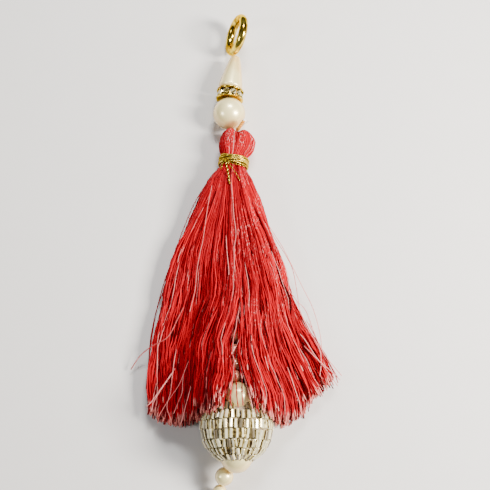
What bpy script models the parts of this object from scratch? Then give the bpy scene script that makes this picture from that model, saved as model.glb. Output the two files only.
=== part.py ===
"""Silk tassel on a gold ring, with a drop bead, a rhinestone rondelle, pearls and a beaded ball.

It lies on a flat surface at z = 0. The origin is under the beaded ball, +Y runs up to the ring and
+Z is up. Sizes are written in millimetres and turned into metres with MM.
"""
import math
import random

import bmesh
import bpy
import numpy as np
from mathutils import Matrix, Vector

MM = 0.001
GAP = 0.3

# Beaded ball, with a pearl sunk in its upper shoulder and one in its lower end
BALL_RADIUS = 8.0
BALL_CENTRE = Vector((0.0, 0.0, 7.85))
BALL_COLUMNS = 24
BALL_ROWS = 10
BALL_PEARLS = {
    "ball_top_pearl": (Vector((0.45, 6.2, 12.0)), 3.0),
    "bottom_pearl": (Vector((0.0, -6.15, 7.85)), 3.5),
}

# Beads under the ball, each a little lower than the last: x, y, z, radius
LOWER_BEADS = {
    "small_pearl": (-2.7, -10.25, 4.75, 2.0),
    "end_bead": (-3.7, -13.35, 2.85, 1.5),
    "end_knot": (-4.1, -15.3, 0.95, 0.9),
}

# String of pearls inside the skirt, from the ball towards the head: x, y, z
CHAIN_PEARL_RADIUS = 1.5
CHAIN_PEARLS = ((-0.3, 10.55, 10.1), (-0.5, 13.55, 8.75), (-0.6, 16.7, 7.75),
                (-0.6, 19.9, 6.95), (-0.65, 23.15, 6.35))
CHAIN_THREAD_RADIUS = 0.25
CHAIN_THREAD_PATH = ((-0.68, 24.98, 6.1), (-0.8, 31.0, 5.1), (-1.1, 40.0, 4.35),
                     (-1.4, 48.0, 4.65), (-1.7, 56.9, 5.3))

# Pieces above the head, on one line towards the ring
TOP_PEARL_RADIUS = 4.0
TOP_PEARL_CENTRE = Vector((-2.1, 76.08, 4.0))
RONDELLE_RADIUS = 3.4
RONDELLE_THICKNESS = 2.6
RONDELLE_RIM = 0.45
RONDELLE_BORE = 0.7
RONDELLE_GROOVE_RADIUS = 2.0
RONDELLE_CENTRE = Vector((-1.95, 81.0, 4.0))
RONDELLE_LEAN_DEG = -5.0
# Hollow in its lower face for the pearl: radius, height above the face
RONDELLE_SEAT = ((0.9, 0.68), (1.72, 0.47), (2.65, 0.0))
STONE_COUNT = 10
STONE_RADIUS = 0.55
STONE_DEPTH = 0.9
DROP_LENGTH = 9.0
DROP_RADIUS = 3.0
DROP_TIP_RADIUS = 1.2
DROP_TIP_EDGE = 0.2
DROP_SHOULDER = 0.6
DROP_BULGE = 0.15
DROP_SIDE_STEPS = 6
DROP_BASE = Vector((-1.92, 82.72, 4.0))
DROP_LEAN_DEG = -8.5
RING_RADIUS = 4.4
RING_WIRE_RADIUS = 1.0
RING_CENTRE = Vector((-0.35, 97.35, 5.1))
RING_LEAN_DEG = -65.5
RING_YAW_DEG = -5.5

# Head, neck and spread of the silk: y, x of the middle, half width, lowest z, highest z
HEAD_SECTIONS = (
    (71.9, 0.0, 1.3, 2.7, 5.2),
    (71.4, 0.0, 2.7, 1.4, 6.5),
    (70.3, 0.0, 3.8, 0.5, 7.4),
    (68.3, -0.05, 4.35, 0.05, 7.85),
    (66.3, -0.25, 4.2, 0.2, 7.7),
    (65.2, -0.5, 3.6, 0.7, 7.2),
    (64.7, -0.7, 2.95, 1.0, 6.9),
    (61.7, -1.2, 2.95, 1.0, 6.9),
    (61.0, -1.35, 3.6, 0.8, 7.1),
    (59.2, -1.75, 5.2, 0.4, 7.45),
    (57.2, -1.85, 6.0, 0.3, 7.6),
)
HEAD_SIDES = 24
NOTCH_DEPTH = 1.3
NOTCH_WIDTH = 1.1
NOTCH_START_Y = 68.3

# Skirt outline as it lies: y, left x, right x
SKIRT_OUTLINE = (
    (0.0, -20.0, 24.0),
    (8.0, -19.7, 23.4),
    (15.0, -19.3, 20.0),
    (22.5, -18.6, 15.9),
    (30.3, -17.3, 12.8),
    (38.2, -15.6, 10.4),
    (46.4, -12.6, 8.0),
    (52.7, -10.0, 6.1),
    (59.2, -7.2, 3.7),
)
# Line of the cut ends: x, y
SKIRT_TIPS = (
    (-20.0, 4.6), (-17.7, 2.6), (-12.5, 0.9), (-8.8, 2.2), (-2.8, 3.8), (0.0, 3.8), (4.7, 2.6),
    (8.8, 1.3), (10.7, 0.9), (14.3, 3.2), (16.2, 6.1), (19.0, 8.3), (23.6, 11.0),
)
STRAND_ROWS = 9
STRAND_COLUMNS = 18
ROW_ORDER_STEP = 5
ROW_PITCH = 0.58
LOWEST_ROW_Z = 0.36
EDGE_FLATTENING = 0.3
STRAND_ROOT_Y = 58.7
FAN_START_Y = 58.7
FAN_FULL_Y = 40.0
ROOT_HALF_WIDTH = 4.9
ROOT_HALF_HEIGHT = 2.9
ROOT_CENTRE = (-1.8, 3.9)
STRAND_ROOT_RADIUS = 0.23
STRAND_TIP_RADIUS = 0.33
STRAND_STEPS = 7
TIP_SCATTER = 1.1
RANDOM_SEED = 7

# The upper rows rise over the string of pearls and the ball: y, rise at the middle
UPPER_ROWS_FROM = 6
RISE = ((0.0, 12.9), (3.5, 12.7), (6.5, 12.2), (8.5, 11.1), (10.5, 9.3), (13.5, 7.5), (18.0, 6.1),
        (24.0, 4.8), (30.0, 3.2), (40.0, 1.5), (58.7, 0.9))
RISE_FLAT_HALF_WIDTH = 2.5
RISE_END_HALF_WIDTH = 13.0
# They part over the pearls: y, x of the parting, half width of the gap
PARTING = ((0.0, -0.4, 1.5), (12.0, -0.45, 1.4), (18.0, -0.4, 1.2), (25.0, 1.2, 0.3), (30.0, 1.4, 0.0))
# Most strands over the ball are cut along an arch: distance from its middle, lowest y of the ends
ARCH_MIDDLE_X = 0.2
ARCH = ((0.0, 11.5), (2.2, 9.4), (3.7, 4.9), (5.8, 3.2), (6.5, 0.0))
LONG_STRAND_STEP = 3
# The lower rows stop short of the ball
LOWER_STOP_HALF_WIDTH = 8.3
LOWER_STOP_Y = 9.0

# Binding round the neck, with its knot and thread tails
BINDING_CENTRE = Vector((-0.95, 63.2, 3.95))
BINDING_YAW_DEG = -8.0
BINDING_TURNS = 5
BINDING_HEIGHT = 2.4
BINDING_INNER_RADIUS = 3.25
BINDING_VALLEY_RADIUS = 3.5
BINDING_RIDGE_RADIUS = 3.75
KNOT_RADIUS = 0.95
KNOT_CENTRE = Vector((-2.9, 62.3, 7.35))
BINDING_TAILS = (
    (0.3, ((-2.8, 62.2, 7.8), (-2.5, 60.6, 8.15), (-2.1, 58.4, 8.25), (-1.8, 56.0, 8.35))),
    (0.22, ((-2.8, 62.2, 7.8), (-1.6, 60.6, 8.1), (-0.4, 58.8, 8.2), (0.6, 57.0, 8.2))),
    (0.22, ((-2.8, 62.2, 7.8), (-1.2, 61.3, 8.0), (0.4, 60.9, 8.0), (1.8, 60.5, 7.9))),
)

# Ends of the hanging cord, in the notch of the head
CORD_RADIUS = 0.36
CORD_KNOT_RADIUS = 0.5
CORD_PATH = ((-0.05, 71.75, 4.6), (-0.05, 71.3, 5.7), (0.0, 70.6, 6.7), (0.35, 70.6, 7.6),
             (1.0, 71.5, 8.1), (1.75, 72.4, 8.4))
THREAD_END_RADIUS = 0.18
THREAD_END_PATH = ((0.95, 71.3, 6.75), (1.5, 71.6, 7.2), (2.2, 72.1, 7.5), (2.8, 72.5, 7.7))

SILK_RED = (0.60, 0.010, 0.014, 1.0)
GOLD = (0.83, 0.56, 0.16, 1.0)
GOLD_THREAD = (0.70, 0.52, 0.18, 1.0)
PEARL_CREAM = (0.86, 0.80, 0.66, 1.0)
SILVER_BEAD = (0.66, 0.62, 0.48, 1.0)
CRYSTAL = (0.85, 0.86, 0.84, 1.0)
CORD_ORANGE = (0.80, 0.38, 0.05, 1.0)
THREAD_WHITE = (0.88, 0.85, 0.78, 1.0)


def clear_scene():
    for obj in list(bpy.data.objects):
        bpy.data.objects.remove(obj, do_unlink=True)


def make_collection(name):
    collection = bpy.data.collections.new(name)
    bpy.context.scene.collection.children.link(collection)
    return collection


def make_material(name, colour, roughness, metallic=0.0):
    material = bpy.data.materials.new(name)
    material.use_nodes = True
    shader = material.node_tree.nodes["Principled BSDF"]
    shader.inputs["Base Color"].default_value = colour
    shader.inputs["Roughness"].default_value = roughness
    shader.inputs["Metallic"].default_value = metallic
    material.diffuse_color = colour
    return material


def add_object(name, data, collection, material=None, location=(0, 0, 0), rotation=(0, 0, 0)):
    """Link an object whose location is in millimetres."""
    obj = bpy.data.objects.new(name, data)
    collection.objects.link(obj)
    obj.location = Vector(location) * MM
    obj.rotation_euler = rotation
    if material:
        obj.data.materials.append(material)
    return obj


def finish_mesh(bm, name, smooth_deg=40):
    bmesh.ops.recalc_face_normals(bm, faces=bm.faces)
    mesh = bpy.data.meshes.new(name)
    bm.to_mesh(mesh)
    bm.free()
    mesh.shade_smooth()
    mesh.set_sharp_from_angle(angle=math.radians(smooth_deg))
    return mesh


def as_cutter(obj):
    obj.hide_render = True
    obj.display_type = "WIRE"
    return obj


def add_boolean(obj, other, operation):
    modifier = obj.modifiers.new(operation.lower() + "_" + other.name, "BOOLEAN")
    modifier.operation = operation
    modifier.solver = "EXACT"
    modifier.object = other
    return modifier


def sphere_mesh(name, radius, columns, rows):
    bm = bmesh.new()
    bmesh.ops.create_uvsphere(bm, u_segments=columns, v_segments=rows, radius=radius * MM)
    return finish_mesh(bm, name)


def turned_object(name, profile, collection, material, location, rotation, steps=24):
    """Turn a closed profile of (radius, height) points round Z with a Screw modifier."""
    mesh = bpy.data.meshes.new(name)
    points = [(radius * MM, 0.0, height * MM) for radius, height in profile]
    closed = profile[0][0] > 0.0
    edges = [(i, i + 1) for i in range(len(points) - 1)]
    if closed:
        edges.append((len(points) - 1, 0))
    mesh.from_pydata(points, edges, [])
    obj = add_object(name, mesh, collection, material, location, rotation)
    screw = obj.modifiers.new("turn", "SCREW")
    screw.axis = "Z"
    screw.steps = steps
    screw.render_steps = steps
    screw.use_merge_vertices = True
    screw.merge_threshold = 0.00001
    screw.use_smooth_shade = True
    screw.use_normal_calculate = True
    return obj


def curve_object(name, strands, collection, material=None, depth=1.0, profile=None):
    """POLY splines with filled caps. Each strand is a list of (point, radius), in millimetres."""
    curve = bpy.data.curves.new(name, "CURVE")
    curve.dimensions = "3D"
    curve.use_fill_caps = True
    curve.twist_mode = "MINIMUM"
    if profile:
        curve.bevel_mode = "OBJECT"
        curve.bevel_object = profile
    else:
        curve.bevel_depth = depth * MM
        curve.bevel_resolution = 2
    for strand in strands:
        spline = curve.splines.new("POLY")
        spline.points.add(len(strand) - 1)
        for spline_point, (point, radius) in zip(spline.points, strand):
            spline_point.co = (*(Vector(point) * MM), 1.0)
            spline_point.radius = radius
    return add_object(name, curve, collection, material)


def curve_to_mesh(obj, name, collection, material=None):
    """Replace a curve by a mesh whose caps are welded."""
    depsgraph = bpy.context.evaluated_depsgraph_get()
    mesh = bpy.data.meshes.new_from_object(obj.evaluated_get(depsgraph))
    bm = bmesh.new()
    bm.from_mesh(mesh)
    bmesh.ops.remove_doubles(bm, verts=bm.verts, dist=0.000001)
    welded = finish_mesh(bm, name)
    placed = obj.matrix_world.copy()
    bpy.data.objects.remove(obj, do_unlink=True)
    bpy.data.meshes.remove(mesh)
    result = add_object(name, welded, collection, material)
    result.matrix_world = placed
    return result


def smooth_path(points, count):
    """Points on a Catmull-Rom curve through the route's own points."""
    controls = [Vector(p) for p in points]
    controls = [controls[0] * 2 - controls[1], *controls, controls[-1] * 2 - controls[-2]]
    spans = len(controls) - 3
    path = []
    for k in range(count + 1):
        position = min(k * spans / count, spans - 1e-6)
        span = int(position)
        t = position - span
        a, b, c, d = controls[span:span + 4]
        path.append(0.5 * (2 * b + (c - a) * t + (2 * a - 5 * b + 4 * c - d) * t ** 2
                           + (3 * b - a - 3 * c + d) * t ** 3))
    return path


def smooth_step(value):
    value = min(max(value, 0.0), 1.0)
    return value * value * (3 - 2 * value)


def table_value(table, key, column):
    rows = sorted(table)
    return float(np.interp(key, [row[0] for row in rows], [row[column] for row in rows]))


# Ring

def build_ring(parts, material):
    bpy.ops.mesh.primitive_torus_add(major_radius=RING_RADIUS * MM, minor_radius=RING_WIRE_RADIUS * MM,
                                     major_segments=28, minor_segments=10)
    ring = bpy.context.object
    ring.name = "ring"
    ring.data.name = "ring"
    for collection in list(ring.users_collection):
        collection.objects.unlink(ring)
    parts.objects.link(ring)
    lean = math.radians(RING_LEAN_DEG)
    yaw = math.radians(RING_YAW_DEG)
    ring.location = RING_CENTRE * MM
    ring.rotation_euler = (0, lean, yaw)
    ring.data.shade_smooth()
    ring.data.materials.append(material)


# Drop bead, rondelle and pearl above the head

def build_drop_bead(parts, material):
    top = DROP_LENGTH - DROP_TIP_EDGE
    profile = [(0.0, DROP_LENGTH), (DROP_TIP_RADIUS - DROP_TIP_EDGE, DROP_LENGTH), (DROP_TIP_RADIUS, top)]
    for k in range(1, DROP_SIDE_STEPS + 1):
        t = k / DROP_SIDE_STEPS
        radius = DROP_TIP_RADIUS + (DROP_RADIUS - DROP_TIP_RADIUS) * t + DROP_BULGE * 4 * t * (1 - t)
        profile.append((radius, top - t * (top - DROP_SHOULDER)))
    for width, height in ((0.99, 0.5), (0.93, 0.15), (0.82, 0.0), (0.0, 0.0)):
        profile.append((DROP_RADIUS * width, DROP_SHOULDER * height))
    # Local +Z turns to +Y, then leans to the right
    rotation = (Matrix.Rotation(math.radians(DROP_LEAN_DEG), 4, "Z")
                @ Matrix.Rotation(math.radians(-90), 4, "X")).to_euler()
    turned_object("drop_bead", profile, parts, material, DROP_BASE, rotation)


def build_rondelle(parts, gold, crystal):
    half = RONDELLE_THICKNESS / 2
    groove = half - RONDELLE_RIM
    profile = [
        (RONDELLE_BORE, half), (RONDELLE_RADIUS - 0.12, half), (RONDELLE_RADIUS, half - 0.12),
        (RONDELLE_RADIUS, groove), (RONDELLE_GROOVE_RADIUS, groove),
        (RONDELLE_GROOVE_RADIUS, -groove), (RONDELLE_RADIUS, -groove),
        (RONDELLE_RADIUS, -half + 0.12), (RONDELLE_RADIUS - 0.12, -half),
    ]
    profile += [(radius, height - half) for radius, height in reversed(RONDELLE_SEAT)]
    profile.append((RONDELLE_BORE, RONDELLE_SEAT[0][1] - half))
    lean = Matrix.Rotation(math.radians(RONDELLE_LEAN_DEG), 3, "Z")
    rotation = (lean @ Matrix.Rotation(math.radians(-90), 3, "X")).to_euler()
    turned_object("rondelle", profile, parts, gold, RONDELLE_CENTRE, rotation)
    middle_radius = RONDELLE_GROOVE_RADIUS + GAP + STONE_DEPTH / 2
    for k in range(STONE_COUNT):
        angle = 2 * math.pi * (k + 0.5) / STONE_COUNT
        outward = lean @ Vector((math.sin(angle), 0, math.cos(angle)))
        bm = bmesh.new()
        bmesh.ops.create_cone(bm, cap_ends=True, segments=8, radius1=STONE_RADIUS * MM,
                              radius2=STONE_RADIUS * 0.6 * MM, depth=STONE_DEPTH * MM)
        mesh = finish_mesh(bm, f"stone_{k + 1}", smooth_deg=10)
        place = RONDELLE_CENTRE + outward * middle_radius
        add_object(f"stone_{k + 1}", mesh, parts, crystal, place, outward.to_track_quat("Z", "Y").to_euler())


def build_top_pearl(parts, material):
    mesh = sphere_mesh("top_pearl", TOP_PEARL_RADIUS, 20, 12)
    add_object("top_pearl", mesh, parts, material, TOP_PEARL_CENTRE, (math.radians(90), 0, 0))


# Tassel: head, neck and strands in one piece of silk

def head_ring(bm, section):
    y, middle, half_width, low, high = section
    centre_z = (low + high) / 2
    half_height = (high - low) / 2
    ring = []
    for k in range(HEAD_SIDES):
        angle = 2 * math.pi * k / HEAD_SIDES
        x = middle + half_width * math.cos(angle)
        z = centre_z + half_height * math.sin(angle)
        notch = math.exp(-((x - HEAD_SECTIONS[0][1]) / NOTCH_WIDTH) ** 2)
        depth = NOTCH_DEPTH * notch * smooth_step((y - NOTCH_START_Y) / 2.5)
        ring.append(bm.verts.new(Vector((x, y - depth, z)) * MM))
    return ring


def build_head(parts, material):
    """Loft from the top of the head, through the bound neck, to the spread where the strands start."""
    bm = bmesh.new()
    rings = [head_ring(bm, section) for section in HEAD_SECTIONS]
    for upper, lower in zip(rings, rings[1:]):
        for k in range(HEAD_SIDES):
            following = (k + 1) % HEAD_SIDES
            bm.faces.new((upper[k], upper[following], lower[following], lower[k]))
    top = bm.faces.new(rings[0])
    bmesh.ops.poke(bm, faces=[top])
    bm.faces.new(list(reversed(rings[-1])))
    return add_object("tassel", finish_mesh(bm, "tassel"), parts, material)


def section_point(u, v, row, y):
    """Where strand (u, v) crosses the section at y. u and v run from -1 to 1 across and up the silk."""
    spread = smooth_step((FAN_START_Y - y) / (FAN_START_Y - FAN_FULL_Y))
    root_x = ROOT_CENTRE[0] + ROOT_HALF_WIDTH * u * math.sqrt(1 - v * v / 2)
    root_z = ROOT_CENTRE[1] + ROOT_HALF_HEIGHT * v * math.sqrt(1 - u * u / 2)
    left = table_value(SKIRT_OUTLINE, y, 1) + STRAND_TIP_RADIUS
    right = table_value(SKIRT_OUTLINE, y, 2) - STRAND_TIP_RADIUS
    fan_x = left + (right - left) * (u + 1) / 2
    fan_z = LOWEST_ROW_Z + row * ROW_PITCH * (1 - EDGE_FLATTENING * u * u)
    outline_share = smooth_step((FAN_START_Y - y) / 3.0)
    near_x = root_x + (fan_x - root_x) * outline_share
    x = near_x + (fan_x - near_x) * spread
    z = root_z + (fan_z - root_z) * spread
    if row >= UPPER_ROWS_FROM:
        off_axis = abs(x - table_value(PARTING, y, 1))
        fall = smooth_step((off_axis - RISE_FLAT_HALF_WIDTH) / (RISE_END_HALF_WIDTH - RISE_FLAT_HALF_WIDTH))
        z += table_value(RISE, y, 1) * (1 - fall)
        x = part_sideways(x, y)
    return Vector((x, y, z))


def part_sideways(x, y):
    """Move x away from the parting, so that strands keep their order."""
    middle = table_value(PARTING, y, 1)
    half_gap = table_value(PARTING, y, 2)
    offset = x - middle
    return middle + math.copysign(math.hypot(offset, half_gap), offset)


def strand_tip_y(u, v, row, column):
    end = section_point(u, v, row, 5.0)
    tip = table_value(SKIRT_TIPS, end.x, 1)
    if row < UPPER_ROWS_FROM and abs(end.x) < LOWER_STOP_HALF_WIDTH:
        tip = LOWER_STOP_Y
    if row >= UPPER_ROWS_FROM and column % LONG_STRAND_STEP:
        tip = max(tip, table_value(ARCH, abs(end.x - ARCH_MIDDLE_X), 1))
    return tip


def strand_paths():
    chance = random.Random(RANDOM_SEED)
    strands = []
    for row in range(STRAND_ROWS):
        v = -1 + (2 * row + 1) / STRAND_ROWS
        shift = (row * ROW_ORDER_STEP % STRAND_ROWS + 0.5) / STRAND_ROWS
        for column in range(STRAND_COLUMNS):
            u = -1 + 2 * (column + shift) / STRAND_COLUMNS
            tip_y = strand_tip_y(u, v, row, column) + chance.uniform(0.0, TIP_SCATTER)
            strand = []
            for k in range(STRAND_STEPS):
                t = k / (STRAND_STEPS - 1)
                point = section_point(u, v, row, STRAND_ROOT_Y + (tip_y - STRAND_ROOT_Y) * t)
                radius = STRAND_ROOT_RADIUS + (STRAND_TIP_RADIUS - STRAND_ROOT_RADIUS) * min(1.0, t * 1.6)
                strand.append((point, radius))
            strands.append(strand)
    return strands


def build_strands(cutters):
    """Three-sided strands that stand apart, from inside the spread of the neck to their cut ends."""
    profile = bpy.data.curves.new("strand_section", "CURVE")
    spline = profile.splines.new("POLY")
    spline.points.add(2)
    for k, point in enumerate(spline.points):
        angle = math.radians(90 + 120 * k)
        point.co = (math.cos(angle) * MM, math.sin(angle) * MM, 0.0, 1.0)
    spline.use_cyclic_u = True
    section = as_cutter(add_object("strand_section", profile, cutters))
    strands = curve_object("strand_curves", strand_paths(), cutters, profile=section)
    strands.data.twist_mode = "Z_UP"
    return as_cutter(curve_to_mesh(strands, "strands", cutters))


def build_tassel(parts, cutters, material):
    tassel = build_head(parts, material)
    add_boolean(tassel, build_strands(cutters), "UNION")


# Binding, cord end and thread end at the neck and head

def build_binding(parts, cutters, material):
    profile = []
    pitch = BINDING_HEIGHT / BINDING_TURNS
    for turn in range(BINDING_TURNS):
        top = BINDING_HEIGHT / 2 - turn * pitch
        profile.append((BINDING_VALLEY_RADIUS, top))
        profile.append((BINDING_RIDGE_RADIUS, top - pitch * 0.3))
        profile.append((BINDING_RIDGE_RADIUS, top - pitch * 0.7))
    profile.append((BINDING_VALLEY_RADIUS, -BINDING_HEIGHT / 2))
    profile.append((BINDING_INNER_RADIUS, -BINDING_HEIGHT / 2))
    profile.append((BINDING_INNER_RADIUS, BINDING_HEIGHT / 2))
    rotation = (Matrix.Rotation(math.radians(BINDING_YAW_DEG), 4, "Z")
                @ Matrix.Rotation(math.radians(-90), 4, "X")).to_euler()
    band = turned_object("neck_binding", profile, parts, material, BINDING_CENTRE, rotation)
    knot = add_object("binding_knot", sphere_mesh("binding_knot", KNOT_RADIUS, 10, 8), cutters,
                      location=KNOT_CENTRE)
    add_boolean(band, as_cutter(knot), "UNION")
    for k, (radius, route) in enumerate(BINDING_TAILS):
        path = [(point, 1.0) for point in smooth_path(route, 9)]
        tail = curve_object(f"tail_{k + 1}_curve", [path], cutters, depth=radius)
        tail.data.bevel_resolution = 1
        tail = as_cutter(curve_to_mesh(tail, f"tail_{k + 1}", cutters))
        add_boolean(band, tail, "UNION")


def build_cord_ends(parts, cutters, orange, white):
    path = [(point, 1.0) for point in smooth_path(CORD_PATH, 12)]
    cord = curve_to_mesh(curve_object("cord_curve", [path], cutters, depth=CORD_RADIUS),
                         "hanging_cord", parts, orange)
    knot = add_object("cord_knot", sphere_mesh("cord_knot", CORD_KNOT_RADIUS, 10, 8), cutters,
                      location=CORD_PATH[0])
    add_boolean(cord, as_cutter(knot), "UNION")
    path = [(point, 1.0) for point in smooth_path(THREAD_END_PATH, 8)]
    curve_object("thread_end", [path], parts, white, depth=THREAD_END_RADIUS)


# String of pearls, beaded ball and the beads under it

def build_chain(parts, pearl, white):
    for k, place in enumerate(CHAIN_PEARLS):
        mesh = sphere_mesh(f"chain_pearl_{k + 1}", CHAIN_PEARL_RADIUS, 12, 8)
        add_object(f"chain_pearl_{k + 1}", mesh, parts, pearl, place, (math.radians(90), 0, 0))
    path = [(point, 1.0) for point in smooth_path(CHAIN_THREAD_PATH, 14)]
    thread = curve_object("chain_thread", [path], parts, white, depth=CHAIN_THREAD_RADIUS)
    thread.data.bevel_resolution = 1


def build_ball(parts, cutters, silver, pearl):
    ball = add_object("bead_ball", sphere_mesh("bead_ball", BALL_RADIUS, BALL_COLUMNS, BALL_ROWS), parts,
                      silver, BALL_CENTRE, (math.radians(90), 0, 0))
    for name, (place, radius) in BALL_PEARLS.items():
        seat_mesh = sphere_mesh(name + "_seat", radius + GAP + 0.05, 16, 10)
        seat = add_object(name + "_seat", seat_mesh, cutters, location=place, rotation=(math.radians(90), 0, 0))
        add_boolean(ball, as_cutter(seat), "DIFFERENCE")
        mesh = sphere_mesh(name, radius, 16, 10)
        add_object(name, mesh, parts, pearl, place, (math.radians(90), 0, 0))
    bm = bmesh.new()
    bmesh.ops.create_cube(bm, size=2 * BALL_RADIUS * MM)
    floor_cut = add_object("floor_cut", finish_mesh(bm, "floor_cut"), cutters, location=(0, 0, -BALL_RADIUS))
    add_boolean(ball, as_cutter(floor_cut), "DIFFERENCE")


def build_lower_beads(parts, pearl, white):
    for name, (x, y, z, radius) in LOWER_BEADS.items():
        material = white if name == "end_knot" else pearl
        add_object(name, sphere_mesh(name, radius, 12, 8), parts, material, (x, y, z), (math.radians(90), 0, 0))


def main():
    clear_scene()
    parts = make_collection("silk_tassel")
    cutters = make_collection("cutters")
    silk = make_material("red_silk", SILK_RED, 0.45)
    gold = make_material("gold_plate", GOLD, 0.15, 1.0)
    gold_thread = make_material("gold_thread", GOLD_THREAD, 0.35, 0.8)
    pearl = make_material("pearl", PEARL_CREAM, 0.2)
    silver = make_material("silver_lined_beads", SILVER_BEAD, 0.2, 0.4)
    crystal = make_material("crystal", CRYSTAL, 0.05)
    orange = make_material("orange_cord", CORD_ORANGE, 0.6)
    white = make_material("white_thread", THREAD_WHITE, 0.7)
    build_ring(parts, gold)
    build_drop_bead(parts, pearl)
    build_rondelle(parts, gold, crystal)
    build_top_pearl(parts, pearl)
    build_cord_ends(parts, cutters, orange, white)
    build_tassel(parts, cutters, silk)
    build_binding(parts, cutters, gold_thread)
    build_chain(parts, pearl, white)
    build_ball(parts, cutters, silver, pearl)
    build_lower_beads(parts, pearl, white)


main()
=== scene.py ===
import math
import random

import bmesh
import bpy
import numpy as np
from mathutils import Matrix, Vector


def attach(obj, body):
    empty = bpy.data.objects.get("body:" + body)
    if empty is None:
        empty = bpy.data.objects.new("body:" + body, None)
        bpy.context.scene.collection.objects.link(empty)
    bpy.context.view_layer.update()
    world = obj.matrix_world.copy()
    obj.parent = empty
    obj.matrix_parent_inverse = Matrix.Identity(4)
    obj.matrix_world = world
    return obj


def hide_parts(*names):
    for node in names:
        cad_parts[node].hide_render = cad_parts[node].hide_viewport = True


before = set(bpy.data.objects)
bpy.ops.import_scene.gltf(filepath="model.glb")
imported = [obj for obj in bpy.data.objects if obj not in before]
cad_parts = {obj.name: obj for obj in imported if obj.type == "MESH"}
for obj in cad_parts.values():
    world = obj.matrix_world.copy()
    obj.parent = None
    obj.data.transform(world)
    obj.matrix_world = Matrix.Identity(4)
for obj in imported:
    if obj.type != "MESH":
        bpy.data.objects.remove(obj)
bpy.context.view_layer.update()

# Everything below is written in millimetres and turned into metres with MM. +Y runs up the tassel
# to the ring, +X is to the right and the surface is at z = 0.
MM = 0.001

# View: from above, leaning back a little from the ball towards the ring
CAMERA_PLACE = Vector((1.8, -12.0, 188.3))
CAMERA_TILT_DEG = 16.4
CAMERA_LENS = 59.9

# Pearls: middle, radius
TOP_PEARL = (Vector((-2.1, 76.08, 4.0)), 4.0)
BALL_TOP_PEARL = (Vector((0.45, 6.2, 12.0)), 3.0)
BALL_BOTTOM_PEARL = (Vector((0.0, -6.15, 7.85)), 3.5)
SMALL_PEARL = (Vector((-2.7, -10.25, 4.75)), 2.0)
END_BEAD = (Vector((-3.7, -13.35, 2.85)), 1.5)
PEARL_HOLE_RADIUS = 0.32
PEARL_STEPS = 56
PEARL_OUTLINE_STEPS = 32
# Small pearls on the string inside the skirt, and the thread that carries them
CHAIN_PEARL_RADIUS = 1.5
CHAIN_PEARLS = ((-0.3, 10.55, 10.1), (-0.5, 13.55, 8.75), (-0.6, 16.7, 7.75),
                (-0.6, 19.9, 6.95), (-0.65, 23.15, 6.35))
CHAIN_THREAD_PATH = ((-0.68, 24.98, 6.1), (-0.8, 31.0, 5.1), (-1.1, 40.0, 4.35),
                     (-1.4, 48.0, 4.65), (-1.7, 56.9, 5.3))
# Knot at the lower end of the string: middle, radius
END_KNOT = (Vector((-4.1, -15.3, 0.95)), 0.9)
END_KNOT_LOOPS = 5
END_KNOT_INSET = 0.3
END_KNOT_THREAD_RADIUS = 0.26

# Ring, drop bead and rondelle
RING_CENTRE = Vector((-0.35, 97.35, 5.1))
RING_RADIUS = 4.27
RING_WIRE_RADIUS = 1.05
RING_LEAN_DEG = -65.5
RING_YAW_DEG = -5.5
RING_STEPS = 112
RING_WIRE_SIDES = 20
DROP_BASE = Vector((-1.92, 82.72, 4.0))
DROP_LENGTH = 9.0
DROP_RADIUS = 3.0
DROP_TIP_RADIUS = 1.2
DROP_TIP_EDGE = 0.15
# Hole and rim of its tip: radius, depth below the end
DROP_TIP_PROFILE = ((0.0, 0.9), (0.42, 0.8), (0.46, 0.1), (0.7, 0.0), (1.02, 0.0))
DROP_SHOULDER = 0.6
DROP_SHOULDER_SHARE = 0.18
DROP_BULGE = 0.15
DROP_SIDE_STEPS = 18
DROP_SHOULDER_STEPS = 8
DROP_STEPS = 64
DROP_LEAN_DEG = -8.5
# Its shading runs from light to warm round this middle, above the base's, and over this radius
DROP_SHADING_RISE = 0.6
DROP_SHADING_RADIUS = 2.2
RONDELLE_CENTRE = Vector((-1.95, 81.0, 4.0))
RONDELLE_LEAN_DEG = -5.0
RONDELLE_RADIUS = 3.4
RONDELLE_THICKNESS = 2.6
RONDELLE_RIM = 0.4
RONDELLE_RIM_ROUND = 0.2
RONDELLE_RIM_STEPS = 8
RONDELLE_FACE_RADIUS = 3.1
RONDELLE_GROOVE_RADIUS = 3.15
RONDELLE_CORE = 2.0
RONDELLE_BORE = 0.6
RONDELLE_STEPS = 80
# Hollow in its lower face for the pearl: radius, height above the face
RONDELLE_SEAT = ((0.9, 0.68), (1.72, 0.47), (2.65, 0.0))
STONE_COUNT = 10
STONE_SIDES = 8
STONE_RADIUS = 0.86
STONE_MIDDLE_RADIUS = 2.72
# Crown of a stone above its girdle: width as a share of the radius, height
STONE_CROWN = ((0.86, 0.32), (0.55, 0.5))
STONE_TWIST_DEG = 22.5
STONE_TIP_DEPTH = 0.7
# Posts between the stones: radius, height along the post
POST_PROFILE = ((0.0, 0.5), (0.1, 0.45), (0.14, 0.2), (0.14, -0.2), (0.1, -0.45), (0.0, -0.5))
POST_SIDES = 8
POST_MIDDLE_RADIUS = 2.85
POST_HEIGHTS = (-0.72, 0.72)

# Ball, and the hollow in the lower end of its core: radius, height from the middle
BALL_CENTRE = Vector((0.0, 0.0, 7.85))
BALL_RADIUS = 8.0
CORE_RADIUS = 7.15
CORE_HOLLOW_DEG = 31
CORE_HOLLOW = ((3.35, -5.1), (2.6, -3.9), (1.4, -2.9), (0.0, -2.6))
CORE_OUTLINE_STEPS = 30
CORE_STEPS = 56
CORE_PEARL_GAP = 0.1
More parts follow.
